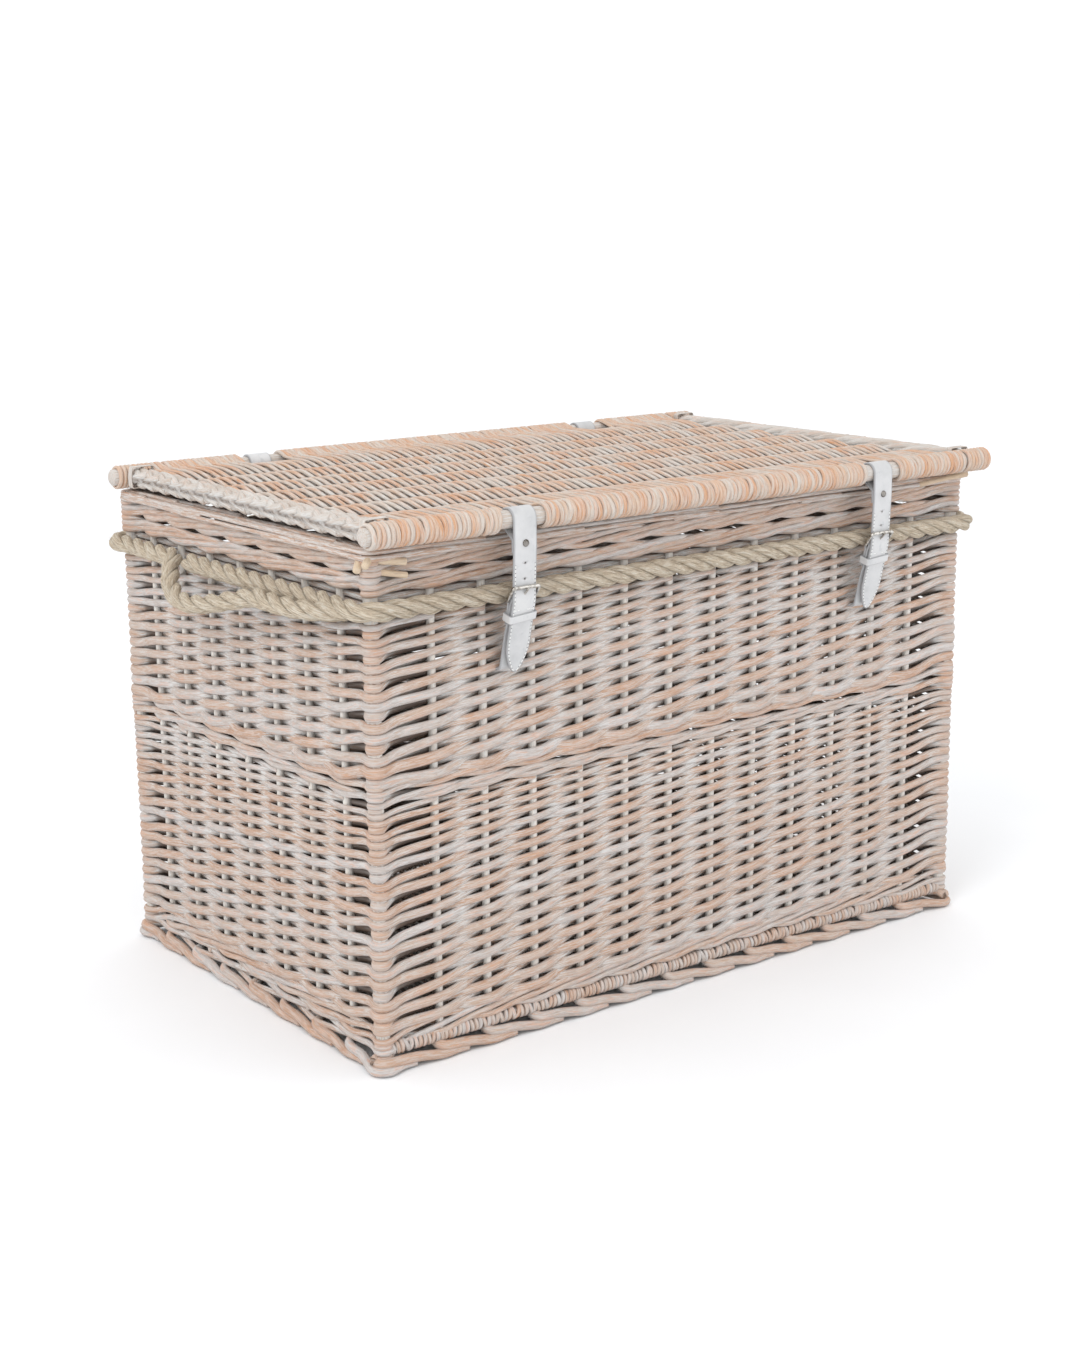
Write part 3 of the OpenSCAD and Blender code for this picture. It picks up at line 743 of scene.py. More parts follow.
def randing(name, node, levels, rise, seed, material):
    """French randing: one rod beside each upright, each rising half a level per upright.

    rise gives the share of the height at a share of the levels. Three of every four rods pass
    outside a corner post, evenly spaced.
    """
    low, high = node_box(node)
    tall = high[2] - low[2]
    rods = Rods(seed, wall_shade_and_wear)

    def height(u):
        return low[2] + tall * rise(u / (levels - 1))

    for first in range(ROUND):
        stops = []
        thick = rods.random.normal(1.0, 0.05)
        for m in range(-1, 2 * levels + 1):
            u = (m - 1) / 2
            outside = m % 2 == 0
            fullness = ROD_FULLNESS * thick
            if upright(first + m).is_post:
                fullness *= POST_FULLNESS
                even = m // 2 % 2 == 0
                if outside:
                    outside = even
                else:
                    outside = True
                    u += 1 / 6 if even else -1 / 6
            z = max(height(u) + rods.random.normal(0, 0.3), low[2] - 4.0)
            stops.append((outside, z, (height(u + 0.5) - height(u)) * fullness))
        path = weave_path(first - 1, stops)
        rising = np.maximum.accumulate([z for _, z, _ in stops]) + np.arange(len(stops)) * 1e-6
        radius = np.interp(path[:, 2], rising, [r for _, _, r in stops])
        rods.add(path, radius, wave=0.05, flat=ROD_FLAT)
    rods.build(name, "trunk", material, "willow_weave", node)


def corner_gap(index):
    """How many uprights on the nearest corner post stands."""
    posts = [k for k in range(ROUND) if upright(k).is_post]
    return min(min((index - k) % ROUND, (k - index) % ROUND) for k in posts)


def waling(rods, low, step, fronts, first=0, thick=1.0, dip=0.0):
    """A round of waling: each rod passes outside some uprights and inside the next.

    dip is how far the lowest lane sinks at the corners, where the lanes fan out.
    """
    period = fronts + 1
    for lane in range(period):
        m = lane - period
        runs = []
        stops = []
        while m < ROUND + period:
            phase = (m - lane) % period
            z_row = low + step * (phase - 0.5) if phase else low + step * fronts / 2
            share = 1.0 - (z_row - low) / (step * fronts)
            z_row += rods.random.normal(0, 0.35) - dip * share * math.exp(-corner_gap(first + m) / 1.6)
            stops.append((phase != 0, z_row, step / 2))
            if phase == 0 and len(stops) > 3 * period:
                runs.append((m - len(stops) + 1, stops))
                stops = [(False, z_row, step / 2)]
            m += 1
        if len(stops) > 1:
            runs.append((m - len(stops), stops))
        for start, run in runs:
            path = weave_path(first + start, run)
            taper = np.linspace(rods.random.uniform(1.0, 1.12), rods.random.uniform(0.84, 0.95), len(path))
            rods.add(path, step * 0.57 * taper * thick, wave=0.06, flat=0.85)


def base_fill(rods):
    """Rods that close each end wall between the foot and the waling, woven post to post."""
    top = node_box("base_sticks")[1][2]
    for post in (FRONT_STAKES + 1, ROUND - END_STAKES - 1):
        for k, z in enumerate((top - 11.0, top - 5.0, top + 1.0)):
            stops = [
                ((m + k) % 2 == 0 or m in (0, END_STAKES + 1), z + rods.random.normal(0, 0.4), 4.0)
                for m in range(END_STAKES + 2)
            ]
            stops = [(False, z, 4.0)] + stops + [(False, z, 4.0)]
            rods.add(weave_path(post - 1, stops), 3.5, wave=0.06, flat=0.8)


def rope_backing(rods):
    """Rods that close the wall behind the rope, inside the stakes."""
    for k in range(3):
        z = ROPE_Z + (k - 1) * 7.5
        stops = [(False, z + rods.random.normal(0, 0.5), 3.6)] * (ROUND + 1)
        rods.add(weave_path(5 * k, stops), 3.7, wave=0.06, flat=0.9)


def upright_rods(seed, material):
    low, high = node_box("side_stakes")
    rods = Rods(seed)
    for here in UPRIGHTS:
        z = np.arange(low[2], high[2], 12.0)
        path = np.column_stack([np.tile(here.place, (len(z), 1)), z])
        radius = here.radius if here.is_post else SHOWN_STAKE_R
        rods.add(path, radius, tone=rods.random.uniform(0.0, 1.0), reference=ACROSS, wave=0.04)
    rods.build("willow_uprights", "trunk", material, "willow_sticks", "side_stakes", "corner_posts")


def foot_border(seed, material):
    """Each stake's end is bent to the right and laid down over the start of the next."""
    rods = Rods(seed, wall_shade_and_wear)
    r = 4.9
    top = node_box("foot_border")[1][2] - r + 1.0
    for j, here in enumerate(UPRIGHTS):
        nxt, after = upright(j + 1), upright(j + 2)
        inward = -unit(here.faces[0] + here.faces[1])
        along = unit(nxt.place - here.place)
        points = [(*(here.place - 5.0 * along + 5.0 * inward), top + 4.0)]
        points += [(*(p - 4.0 * along), top + 2.0) for p in here.crossing(True, -0.5)[:1]]
        points += [(*p, top) for p in here.crossing(True, 2.4)]
        points.append((*((here.place + nxt.place) / 2 + here.faces[1] * 6.6), (top + r) / 2 + 1.2))
        points += [(*p, r + 0.7) for p in nxt.crossing(True, 5.0)]
        points.append((*(nxt.place * 0.72 + after.place * 0.28 + nxt.faces[1] * 7.4), r + 0.3))
        points.append((*(nxt.place * 0.5 + after.place * 0.5 + nxt.faces[1] * 6.8), r - 0.9))
        path = smooth(points, 5.0)
        taper = np.interp(np.linspace(0, 1, len(path)), [0, 0.1, 0.75, 1], [0.9, 1.04, 0.95, 0.6])
        rods.add(path, r * taper * rods.random.uniform(0.94, 1.04), wave=0.05, sides=10)
    rods.build("willow_foot_border", "trunk", material, "willow_border", "foot_border")


def rim_border(seed, material):
    """Long thin rods laid along the top of the wall, each rising from one lane to the next."""
    rods = Rods(seed)
    r = 2.6
    lanes = [(8.6, -4.4), (7.4, 0.2), (3.0, 1.9), (-2.4, 1.9), (-7.2, 0.2), (-8.6, -4.4)]
    top = RIM_TOP - 1.0
    for lane, (out, lift) in enumerate(lanes):
        start = lane
        while start < ROUND + lane:
            span = int(rods.random.integers(4, 8))
            points = []
            for m in range(span + 1):
                here = upright(start + m)
                z = top - r + lift + 2.6 * (m / span - 0.5) + rods.random.normal(0, 0.35)
                points += [(*p, z) for p in here.crossing(True, -here.radius + out)]
            thick = rods.random.uniform(0.85, 1.15)
            rods.add(smooth(points, 9.0), r * thick, tone=rods.random.uniform(0.0, 0.8), wave=0.05)
            start += span - 1
    rods.build("willow_rim", "trunk", material, "willow_border", "rim_border")


# ---- lid ----

front_stick_low, front_stick_high = node_box("lid_front_stick")
back_stick_low, back_stick_high = node_box("lid_back_stick")
LID_Z = (front_stick_low[2] + front_stick_high[2]) / 2
LID_STICK_R = (front_stick_high[2] - front_stick_low[2]) / 2
LID_FRONT = (front_stick_low[1] + front_stick_high[1]) / 2
LID_BACK = (back_stick_low[1] + back_stick_high[1]) / 2
CROSS_STICKS = 7
CROSS_R = 4.0
CROSS_STEP = (LID_BACK - LID_FRONT) / (CROSS_STICKS + 1)
strap_low, strap_high = node_box("strap_right")
STRAP_X = (strap_low[0] + strap_high[0]) / 2
STRAP_W = strap_high[0] - strap_low[0]
hinge_low, hinge_high = node_box("hinge_loop_right")
HINGE_X = (hinge_low[0] + hinge_high[0]) / 2
BARE = 51.0
LASHING_W = 6.0
LASHING_TURNS = 3
BORDER_W = 24.0
BORDER_X = LINE_X + WALL / 2 - BORDER_W
PLAIT_RUN = 88.0
PLAIT_PITCH = 28.0
PLAIT_SHORTEST = 14.0
# A plait rod's course, as shares: across the border, along the run and up from the middle.
PLAIT_OVER = [
    (0.96, -0.30, -0.9), (1.0, 0.0, 0.0), (0.86, 0.14, 0.78), (0.55, 0.42, 1.0), (0.25, 0.70, 0.86),
    (0.02, 0.92, 0.1),
]
WEAVER_PITCH = 5.0
BASE_STICKS = 8


def panel_shade_and_wear(z, edges, reach):
    """Painted shade and wear on a woven panel: its two faces and its wrapped edges are painted fully lit
    and wear, while its middle gets painted shade.
    """
    def wear(points):
        over = np.abs(points[:, 2] - z)
        wrapped = np.min([np.abs(points[:, 1] - y) for y in edges], axis=0) < reach
        # Painted light: full on both faces and the wrapped edges, painted shade in the panel's middle.
        openness = np.where(wrapped, 1.0, np.clip((over + 1.0) / 5.0, 0.0, 1.0))
        return openness, np.where(wrapped, 0.9, np.clip((over - 3.0) / 5.0, 0.0, 1.0))

    return wear


def weave_panel(rods, half, stick_ys, z, stick_r, edge_r, rod_r, flat, bare_front=None, bare_back=None):
    """Weavers run front to back, over and under the inner sticks, and turn round both edge sticks.

    bare_front and bare_back give the middles, to the left and right, of the places where an edge
    stick shows and the weavers end beside it.
    """
    inner = stick_ys[1:-1]
    turn = edge_r + rod_r * flat
    turns = np.radians([-35, -70, -110, -150, 170, 130, 90])
    for i, x0 in enumerate(np.arange(-half, half + 0.1, WEAVER_PITCH)):
        x = x0 + rods.random.normal(0, 0.3)
        lean = rods.random.normal(0, 1.1)
        ends = []
        for edge, toward, bare in ((stick_ys[0], 1, bare_front), (stick_ys[-1], -1, bare_back)):
            if bare and abs(abs(x) - bare) < BARE / 2:
                end = [(x, edge + toward * (edge_r + 4.0), z - 4.0), (x, edge + toward * (edge_r + 9.0), z)]
            else:
                end = [(x + lean * s, edge + toward * turn * c, z + turn * s)
                       for c, s in zip(np.cos(turns), np.sin(turns))]
                end.append((x, edge + toward * (turn + 5.0), z + turn * 0.62))
            ends.append(end)
        points = ends[0]
        for k, y in enumerate(inner):
            over = (stick_r + rod_r * flat) * (1 if (i + k) % 2 == 0 else -1)
            points.append((x + rods.random.normal(0, 0.3), y, z + over + rods.random.normal(0, 0.2)))
            if k + 1 < len(inner):
                points.append((x + rods.random.normal(0, 0.3), (y + inner[k + 1]) / 2, z))
        points += ends[1][::-1]
        thick = rods.random.uniform(0.94, 1.08)
        rods.add(smooth(points, 6.5), rod_r * thick, reference=ACROSS, wave=0.05, flat=flat)


def lid_weave(seed, material):
    ys = LID_FRONT + np.arange(CROSS_STICKS + 2) * CROSS_STEP
    rods = Rods(seed, panel_shade_and_wear(LID_Z, (LID_FRONT, LID_BACK), 14.0))
    half = BORDER_X - WEAVER_PITCH / 2 - 1.0
    weave_panel(rods, half, ys, LID_Z, CROSS_R, LID_STICK_R, 2.8, 0.7, STRAP_X, HINGE_X)
    turns = np.radians(np.arange(0, 375, 25))
    r = LID_STICK_R + 2.0
    for y in (LID_FRONT, LID_BACK):
        for side in (-1, 1):
            for x in np.arange(half + WEAVER_PITCH, front_stick_high[0] - 3.0, WEAVER_PITCH):
                lean = rods.random.normal(0, 0.6)
                loop = [(side * (x + lean * math.sin(a)), y + r * math.cos(a), LID_Z + r * math.sin(a))
                        for a in turns]
                rods.add(loop, 2.6, reference=ACROSS, flat=0.75, wave=0.05)
    rods.build("willow_lid_weave", "lid", material, "willow_weave", "lid_weave")


def base_weave(seed, material):
    low, high = node_box("base_sticks")
    z = (low[2] + high[2]) / 2
    r = (high[2] - low[2]) / 2
    ys = np.linspace(low[1] + r, high[1] - r, BASE_STICKS)
    rods = Rods(seed, panel_shade_and_wear(z, (ys[0], ys[-1]), 9.0))
    weave_panel(rods, -low[0] - WEAVER_PITCH, ys, z, r, r, 2.3, 0.8)
    rods.build("willow_base_weave", "trunk", material, "willow_weave", "base_weave")
    sticks = Rods(seed + 1)
    for y in ys:
        bar(sticks, (low[0], y, z), (high[0], y, z), r, 0.5, wave=0.04)
    sticks.build("willow_base_sticks", "trunk", material, "willow_sticks", "base_sticks")


def bar(rods, start, end, radius, tone, spacing=12.0, **details):
    start, end = np.array(start, float), np.array(end, float)
    steps = max(2, int(np.linalg.norm(end - start) / spacing))
    path = start + np.linspace(0, 1, steps)[:, None] * (end - start)
    rods.add(path, radius, tone=tone, **details)


def lid_sticks(seed, material):
    rods = Rods(seed)
    left, right = front_stick_low[0], front_stick_high[0]
    for y in (LID_FRONT, LID_BACK):
        bar(rods, (left, y, LID_Z), (right, y, LID_Z), LID_STICK_R, 0.45, sides=20, wave=0.02)
    rods.build("willow_lid_sticks", "lid", material, "willow_sticks", "lid_front_stick", "lid_back_stick")
    rods = Rods(seed + 1)
    low, high = node_box("lid_cross_sticks")
    for k in range(1, CROSS_STICKS + 1):
        y = LID_FRONT + k * CROSS_STEP
        bar(rods, (low[0], y, LID_Z), (high[0], y, LID_Z), CROSS_R, 0.6, wave=0.04)
    rods.build("willow_cross_sticks", "lid", material, "willow_sticks", "lid_cross_sticks")


def lid_border(side, seed, material):
    """A plait along one end of the lid: rods laid slantwise from its outer edge over to its inner edge."""
    node = "lid_border_right" if side > 0 else "lid_border_left"
    low, high = node_box(node)
    rods = Rods(seed, panel_shade_and_wear(LID_Z, (LID_FRONT, LID_BACK), 20.0))
    r = 4.5
    for face in (1, -1):
        for start in np.arange(low[1] - PLAIT_RUN, high[1], PLAIT_PITCH):
            points = []
            for across, along, lift in PLAIT_OVER:
                y = start + along * PLAIT_RUN + (PLAIT_PITCH / 2 if face < 0 else 0.0)
                y = min(max(y, low[1] - 6.0 + along), high[1] + 5.0 + along)
                x = BORDER_X + r * 0.6 + across * (BORDER_W - r * 1.2)
                z = LID_Z + face * lift * (CROSS_R + 2.4)
                points.append((side * x, y + rods.random.normal(0, 0.4), z))
            if points[-1][1] - points[0][1] > PLAIT_SHORTEST:
                thick, tone = rods.random.uniform(0.9, 1.06), rods.random.uniform(0.2, 1.0)
                rods.add(smooth(points, 5.0), r * thick, tone=tone, wave=0.06)
    for shift in (-6.0, 6.0):
        x = side * (BORDER_X + BORDER_W / 2 + shift)
        bar(rods, (x, low[1] - 4.0, LID_Z), (x, high[1] + 4.0, LID_Z), 5.0, 0.6)
    rods.build("willow_" + node, "lid", material, "willow_border", node)


def corner_lashings(seed, material):
    """Willow skeins wound round the end borders near the lid's corners."""
    low, high = node_box("corner_lashings")
    rods = Rods(seed)
    border_low, border_high = node_box("lid_border_right")
    inner, outer = border_low[0] - 0.5, border_high[0] + 0.8
    bottom, top = LID_Z - CROSS_R - 6.0, high[2] - 0.6
    corners = [
        (inner, bottom), (outer, bottom), (outer + 1.2, LID_Z), (outer, top), (inner, top), (inner, bottom),
    ]
    for side in (-1, 1):
        for middle in (low[1] + LASHING_W / 2, high[1] - LASHING_W / 2):
            for k in range(LASHING_TURNS):
                y = middle + (k - (LASHING_TURNS - 1) / 2) * LASHING_W / LASHING_TURNS * 1.25
                lean = rods.random.normal(0, 0.5)
                ring = [(side * x, y + lean * (z - LID_Z) / 10, z) for x, z in corners]
                rods.add(soften(ring, 2.0, 3.5), 1.7, reference=BACKWARDS, flat=0.4)
    rods.build("willow_lashings", "lid", material, "willow_weave", "corner_lashings")


def cut_ends(seed, material):
    """Short trimmed ends that stick out of the rim at the front left corner, and one at the right."""
    rods = Rods(seed)
    corner = np.array([-LINE_X - WALL / 2, FRONT_Y, RIM_TOP])
    for start, end, r in (
        ((12.0, 10.0, -6.0), (-2.5, -3.0, -13.0), 3.6),
        ((3.0, 16.0, -12.0), (-4.5, 8.0, -18.5), 3.8),
        ((16.0, 5.0, -11.0), (40.0, -3.0, -13.5), 3.6),
        ((18.0, 6.0, -22.0), (41.0, -3.0, -26.0), 3.0),
    ):
        bar(rods, corner + start, corner + end, r, 0.9, spacing=4.0, sides=12)
    right = np.array([LINE_X, FRONT_Y, RIM_TOP])
    bar(rods, right + (-60.0, 1.5, -7.5), right + (WALL / 2 + 4.0, 1.0, -3.0), 3.4, 0.6, sides=12)
    rods.build("willow_cut_ends", "trunk", material, "willow_border")


# ---- rope ----

STRANDS = 3
ROPE_STEP = 60.0
STRAND_R = 5.0
ROPE_LAY = -76.0
HANDLE_REACH = 36.0
HANDLE_STEPS = 24
HAIRS_PER_STEP = 1.1
# A rope tail's course from its merged end: shares along the wall, into it and up to the band.
TAIL_MERGE = [(1.32, 0.98, 0.75), (1.1, 0.66, 0.4), (0.85, 0.30, 0.1), (0.55, 0.04, 0.0), (0.25, 0.0, 0.0)]
HANG = np.array([-1.0, 0.0, -1.0]) / math.sqrt(2)

front_low, front_high = node_box("front_rope")
back_low, back_high = node_box("back_rope")
tails_low, tails_high = node_box("rope_tails")
ROPE_X = front_high[0] - ROPE_R
ROPE_Y = (back_high[1] - front_low[1]) / 2 - ROPE_R
ROPE_Z = (front_low[2] + front_high[2]) / 2
HANDLE_A = np.array([-ROPE_X, back_low[1], ROPE_Z])
HANDLE_B = np.array([-(tails_high[0] - ROPE_R), tails_high[1], (tails_low[2] + tails_high[2]) / 2])


def handle_point(t):
    """The left handle's line: steep at the back, gentle in front."""
    sag = HANDLE_REACH * math.sin(math.pi * t ** 0.74) ** 1.15 if 0 < t < 1 else 0.0
    return HANDLE_A + t * (HANDLE_B - HANDLE_A) + sag * HANG


def handle_line():
    return [handle_point(t) for t in np.linspace(0, 1, HANDLE_STEPS + 1)]


def mirrored(points):
    return [(-x, y, z) for x, y, z in points]


def rope_corner(side_x, side_y):
    """A quarter turn round a corner post, from the end wall to the long wall."""
    post = np.array([LINE_X, HALF_Y])
    turn = ROPE_X - LINE_X + 1.5
    return [
        (side_x * (post[0] + turn * math.cos(a)), MID_Y + side_y * (post[1] + turn * math.sin(a)), ROPE_Z)
        for a in np.radians([0, 30, 60, 90])
    ]


def twist(line, spacing=3.0):
    """Strand lines laid round a rope's line, and the rope's own evenly spaced line."""
    line = smooth(line, spacing)
    long = distances(line)[-1]
    at = np.linspace(0, long, int(long / spacing))
    centre = resample(line, at)
    _, side, lift = directions(centre, UP)
    strands = []
    for k in range(STRANDS):
        angle = 2 * np.pi * (at / ROPE_LAY + k / STRANDS)[:, None]
        strands.append(centre + (ROPE_R - STRAND_R) * (np.cos(angle) * side + np.sin(angle) * lift))
    return centre, strands


def rope_piece(name, seed, rope, first, last, material, *nodes):
    """The part of a twisted rope from one place on its line to another."""
    centre, strands = rope
    tree = kdtree.KDTree(len(centre))
    for i, p in enumerate(centre):
        tree.insert(p, i)
    tree.balance()

    # Painted light for the rope: low where a point lies near the rope's line, so painted shade fills the
    # meeting of the strands.
    def wear(points):
        depth = np.array([tree.find(p)[2] for p in points])
        openness = np.clip((depth - 4.0) / 3.4, 0.0, 1.0)
        return openness, openness

    rods = Rods(seed, wear)
    for k, strand in enumerate(strands):
        rods.add(strand[first:last + 1], STRAND_R, tone=0.2 + 0.3 * k, sides=14, wave=0.05)
    hairs(rods, centre[first:last + 1])
    return rods.build(name, None, material, "rope", *nodes)


def hairs(rods, centre):
    """Loose fibres that stand off the rope."""
    tangent, side, lift = directions(centre, UP)
    for _ in range(int(len(centre) * HAIRS_PER_STEP)):
        i = int(rods.random.integers(1, len(centre) - 1))
        a = rods.random.uniform(0, 2 * np.pi)
        out = math.cos(a) * side[i] + math.sin(a) * lift[i]
        drift = rods.random.normal(0, 1.0, 3)
        foot = centre[i] + out * (ROPE_R - 2.2)
        run = tangent[i] * rods.random.uniform(3, 9) * rods.random.choice([-1, 1])
        tip = foot + out * rods.random.uniform(2.0, 4.5) + run + drift
        bend = (foot + tip) / 2 + out * 0.8
        rods.add(smooth([foot, bend, tip], 2.5), 0.14, sides=3, ends=False)


def ropes(material):
    """One rope runs round the back and both handles; another runs round the front, behind the handles.

    The back rope's ends run along the front rope and merge into it.
    """
    inner = front_high[1]
    ends = [(-ROPE_X, y, ROPE_Z) for y in (inner, inner - ROPE_STEP, LINE_FRONT + ROPE_STEP)]
    left = ends + rope_corner(-1, -1)
    xs = np.arange(-5, 6) * ROPE_STEP
    front = left + [(x, MID_Y - ROPE_Y, ROPE_Z) for x in xs] + mirrored(left)[::-1]
    rope = twist(front)
    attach(rope_piece("rope_front", 61, rope, 0, len(rope[0]) - 1, material, "front_rope"), "trunk")

    run = tails_low[1] - HANDLE_B[1]
    to_band = np.array([run, -ROPE_X - HANDLE_B[0], ROPE_Z - HANDLE_B[2]])
    tail = [tuple(HANDLE_B + (to_band * share)[[1, 0, 2]]) for share in TAIL_MERGE]
    behind = [(-ROPE_X, y, ROPE_Z) for y in np.linspace(HANDLE_A[1] + 20.0, MID_Y + HALF_Y - 20.0, 4)]
    half = tail + handle_line()[::-1] + behind + rope_corner(-1, 1)
    back = half + [(x, MID_Y + ROPE_Y, ROPE_Z) for x in xs] + mirrored(half)[::-1]
    rope = twist(back)
    marks = [
        int(np.argmin(np.linalg.norm(rope[0] - np.array(p), axis=1)))
        for p in (HANDLE_B, HANDLE_A, *mirrored([HANDLE_A, HANDLE_B]))
    ]
    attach(rope_piece("rope_back", 62, rope, marks[1], marks[2], material, "back_rope"), "trunk")
    tails = (("left", 63, 0, marks[0], ["rope_tails"]), ("right", 64, marks[3], len(rope[0]) - 1, []))
    for side, seed, first, end, nodes in tails:
        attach(rope_piece("rope_tail_" + side, seed, rope, first, end, material, *nodes), "trunk")
    loops = (("left", 65, marks[0], marks[1], 1), ("right", 66, marks[2], marks[3], -1))
    for side, seed, first, end, flip in loops:
        loop = rope_piece("rope_loop_" + side, seed, rope, first, end, material, "rope_handle_" + side)
        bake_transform(loop)


# ---- straps, tabs and buckles ----

LEATHER = 2.4
WIRE_R = 1.6
RUNNING = 0.08
BUCKLE_HALF = 15.4
STITCH_IN = 2.0
STITCH_PITCH = 3.8
STITCH = [(-1.45, -0.35), (-0.8, 0.16), (0.8, 0.16), (1.45, -0.35)]
STITCH_R = 0.5
NEEDLE_HOLE_SHADE_R = 0.62
CROSS_SEAM_Z = 432.5
HOLE_R = 1.25
HOLES_Z = (461.3, 476.0)
PRONG_SLOT_Z = 442.3
PRONG_SLOT_HALF = 6.0
SLOT_HALF = 1.8
PRONG_LEAN = math.radians(137.475)
STRAP_RIVET_Z = 494.6
TAB_RIVET_DOWN = 7.6
KEEPER_SLANT = 0.09
HINGE_LOW = 475.2
HINGE_RIVET_Z = 487.0
OUTWARD = -BACKWARDS


def at_front(y, z):
    """A point of the strap's side view, measured from the front wall."""
    return np.array([FRONT_Y + y, z])


HEEL = at_front(-19.0, 441.0)
FRONT_BAR = at_front(-28.3, 453.6)
STRAP_BEND = at_front(-24.7, 440.0)
TAB_END = at_front(-2.5, 376.0)
TAB_DIR = unit(TAB_END - HEEL)
TAB_OUT = np.array([TAB_DIR[1], -TAB_DIR[0]])
TAB_FOLD = 24.0
SLOT_Z = 372.8
FLANGE = 26.0
LOOP_MID = LID_STICK_R + RUNNING + LEATHER / 2
STICK = np.array([LID_FRONT, LID_Z])


def on_tab(down, out):
    return HEEL + down * TAB_DIR + out * TAB_OUT


def touch(p, turn):
    """The angle at which leather from a point meets its loop round the stick."""
    v = p - STICK
    return math.atan2(v[1], v[0]) + turn * math.acos(LOOP_MID / np.linalg.norm(v))


def arc(middle, radius, start, end, step=math.radians(12)):
    """Points on a circle in a side view, from one angle to another."""
    count = max(2, int(abs(end - start) / step))
    return [middle + radius * np.array([math.cos(a), math.sin(a)]) for a in np.linspace(start, end, count)]


def strap_line():
    """The strap's side view, from its riveted end round the stick and down to its tip."""
    front, meet = at_front(-27.0, 493.0), at_front(-24.65, 498.5)
    back_angle, front_angle = touch(meet, 1), touch(front, -1) + 2 * math.pi
    tip = STRAP_BEND + TAB_DIR * (strap_low[2] - STRAP_BEND[1]) / TAB_DIR[1]
    round_stick = arc(STICK, LOOP_MID, back_angle, front_angle)
    return [at_front(-24.65, 486.0), meet, *round_stick, front, at_front(-25.2, 456.0), STRAP_BEND, tip]


def at_x(x, line):
    """A side view put at a place along the front."""
    line = np.asarray(line)
    return np.column_stack([np.full(len(line), x), line])


def seam(rods, path, normal, half):
    """Stitches along both edges of a strip's outer face, each between two needle holes that are painted as
    small dark discs of shade.
    """
    along = distances(path)
    faces = np.column_stack([path, normal, half])
    for side in (-1, 1):
        for s in np.arange(2.5, along[-1] - 1.0, STITCH_PITCH):
            spots = []
            for d, lift in STITCH:
                at = min(max(s + d, 0), along[-1])
                *here, edge = [np.interp(at, along, values) for values in faces.T]
                face = np.array(here[:3]) + (LEATHER / 2 + lift) * np.array(here[3:])
                spots.append(face + side * (edge - STITCH_IN) * ACROSS)
            rods.add(spots, STITCH_R, tone=1.0, sides=6, reference=ACROSS)
            n = unit(spots[1] - spots[0] + spots[2] - spots[3])
            for spot in (spots[0], spots[-1]):
                # Painted shade: a small dark disc stands in for each needle hole.
                hole = [spot + 0.3 * n, spot + 0.42 * n]
                rods.add(hole, NEEDLE_HOLE_SHADE_R, tone=0.0, reference=ACROSS, ends=False)


def cross_seam(rods, path, normal):
    """A row of stitches across the strap, just above the keeper, that leaves out the prong's slot."""
    at = int(np.argmin(np.abs(path[:, 2] - CROSS_SEAM_Z)))
    foot = path[at] + LEATHER / 2 * normal[at]
    for a in np.arange(-STRAP_W / 2 + 3.5, STRAP_W / 2 - 2.5, STITCH_PITCH):
        if abs(a) > SLOT_HALF + 1.5:
            spots = [foot + (a + d) * ACROSS + lift * normal[at] for d, lift in STITCH]
            rods.add(spots, STITCH_R, tone=1.0, sides=6)


def strap(side, x, leather, thread):
    """The strap with its pointed tip, two round holes, a slot for the prong, and its stitches."""
    line = at_x(x, soften(strap_line(), 1.5, 2.2))
    from_tip = distances(line)[-1] - distances(line)
    half = np.interp(from_tip, [0, 1.5, 5, 10, 16, 22, 28], [1.8, 3.8, 6.2, 8.7, 11.1, 12.6, STRAP_W / 2])
    body = Solids()
    body.strip(line, ACROSS, 2 * half, LEATHER)
    holes = Solids()
    behind, ahead = FRONT_Y - 20.0, FRONT_Y - 34.0
    for z in HOLES_Z:
        holes.turned((x, behind, z), OUTWARD, [(HOLE_R, 0.0), (HOLE_R, behind - ahead)])
    turn = np.radians(np.arange(0, 360, 30))
    slot_x = x + SLOT_HALF * np.cos(turn)
    slot_z = PRONG_SLOT_Z + np.where(np.sin(turn) > 0, 1, -1) * PRONG_SLOT_HALF + SLOT_HALF * np.sin(turn)
    rings = [np.column_stack([slot_x, np.full(len(turn), y), slot_z]) for y in (behind, ahead)]
    holes.sweep(rings, np.zeros(len(turn)))
    body.build("leather_strap_" + side, "strap_" + side, leather, "leather", "strap_" + side, holes)
    normal = np.cross(tangents(line), ACROSS)
    outer = (line[:, 2] < LID_Z) & (np.arange(len(line)) > len(line) / 2)
    stitches = Rods(71)
    seam(stitches, line[outer], normal[outer], half[outer])
    cross_seam(stitches, line[outer], normal[outer])
    stitches.build("strap_stitches_" + side, "strap_" + side, thread, "leather")


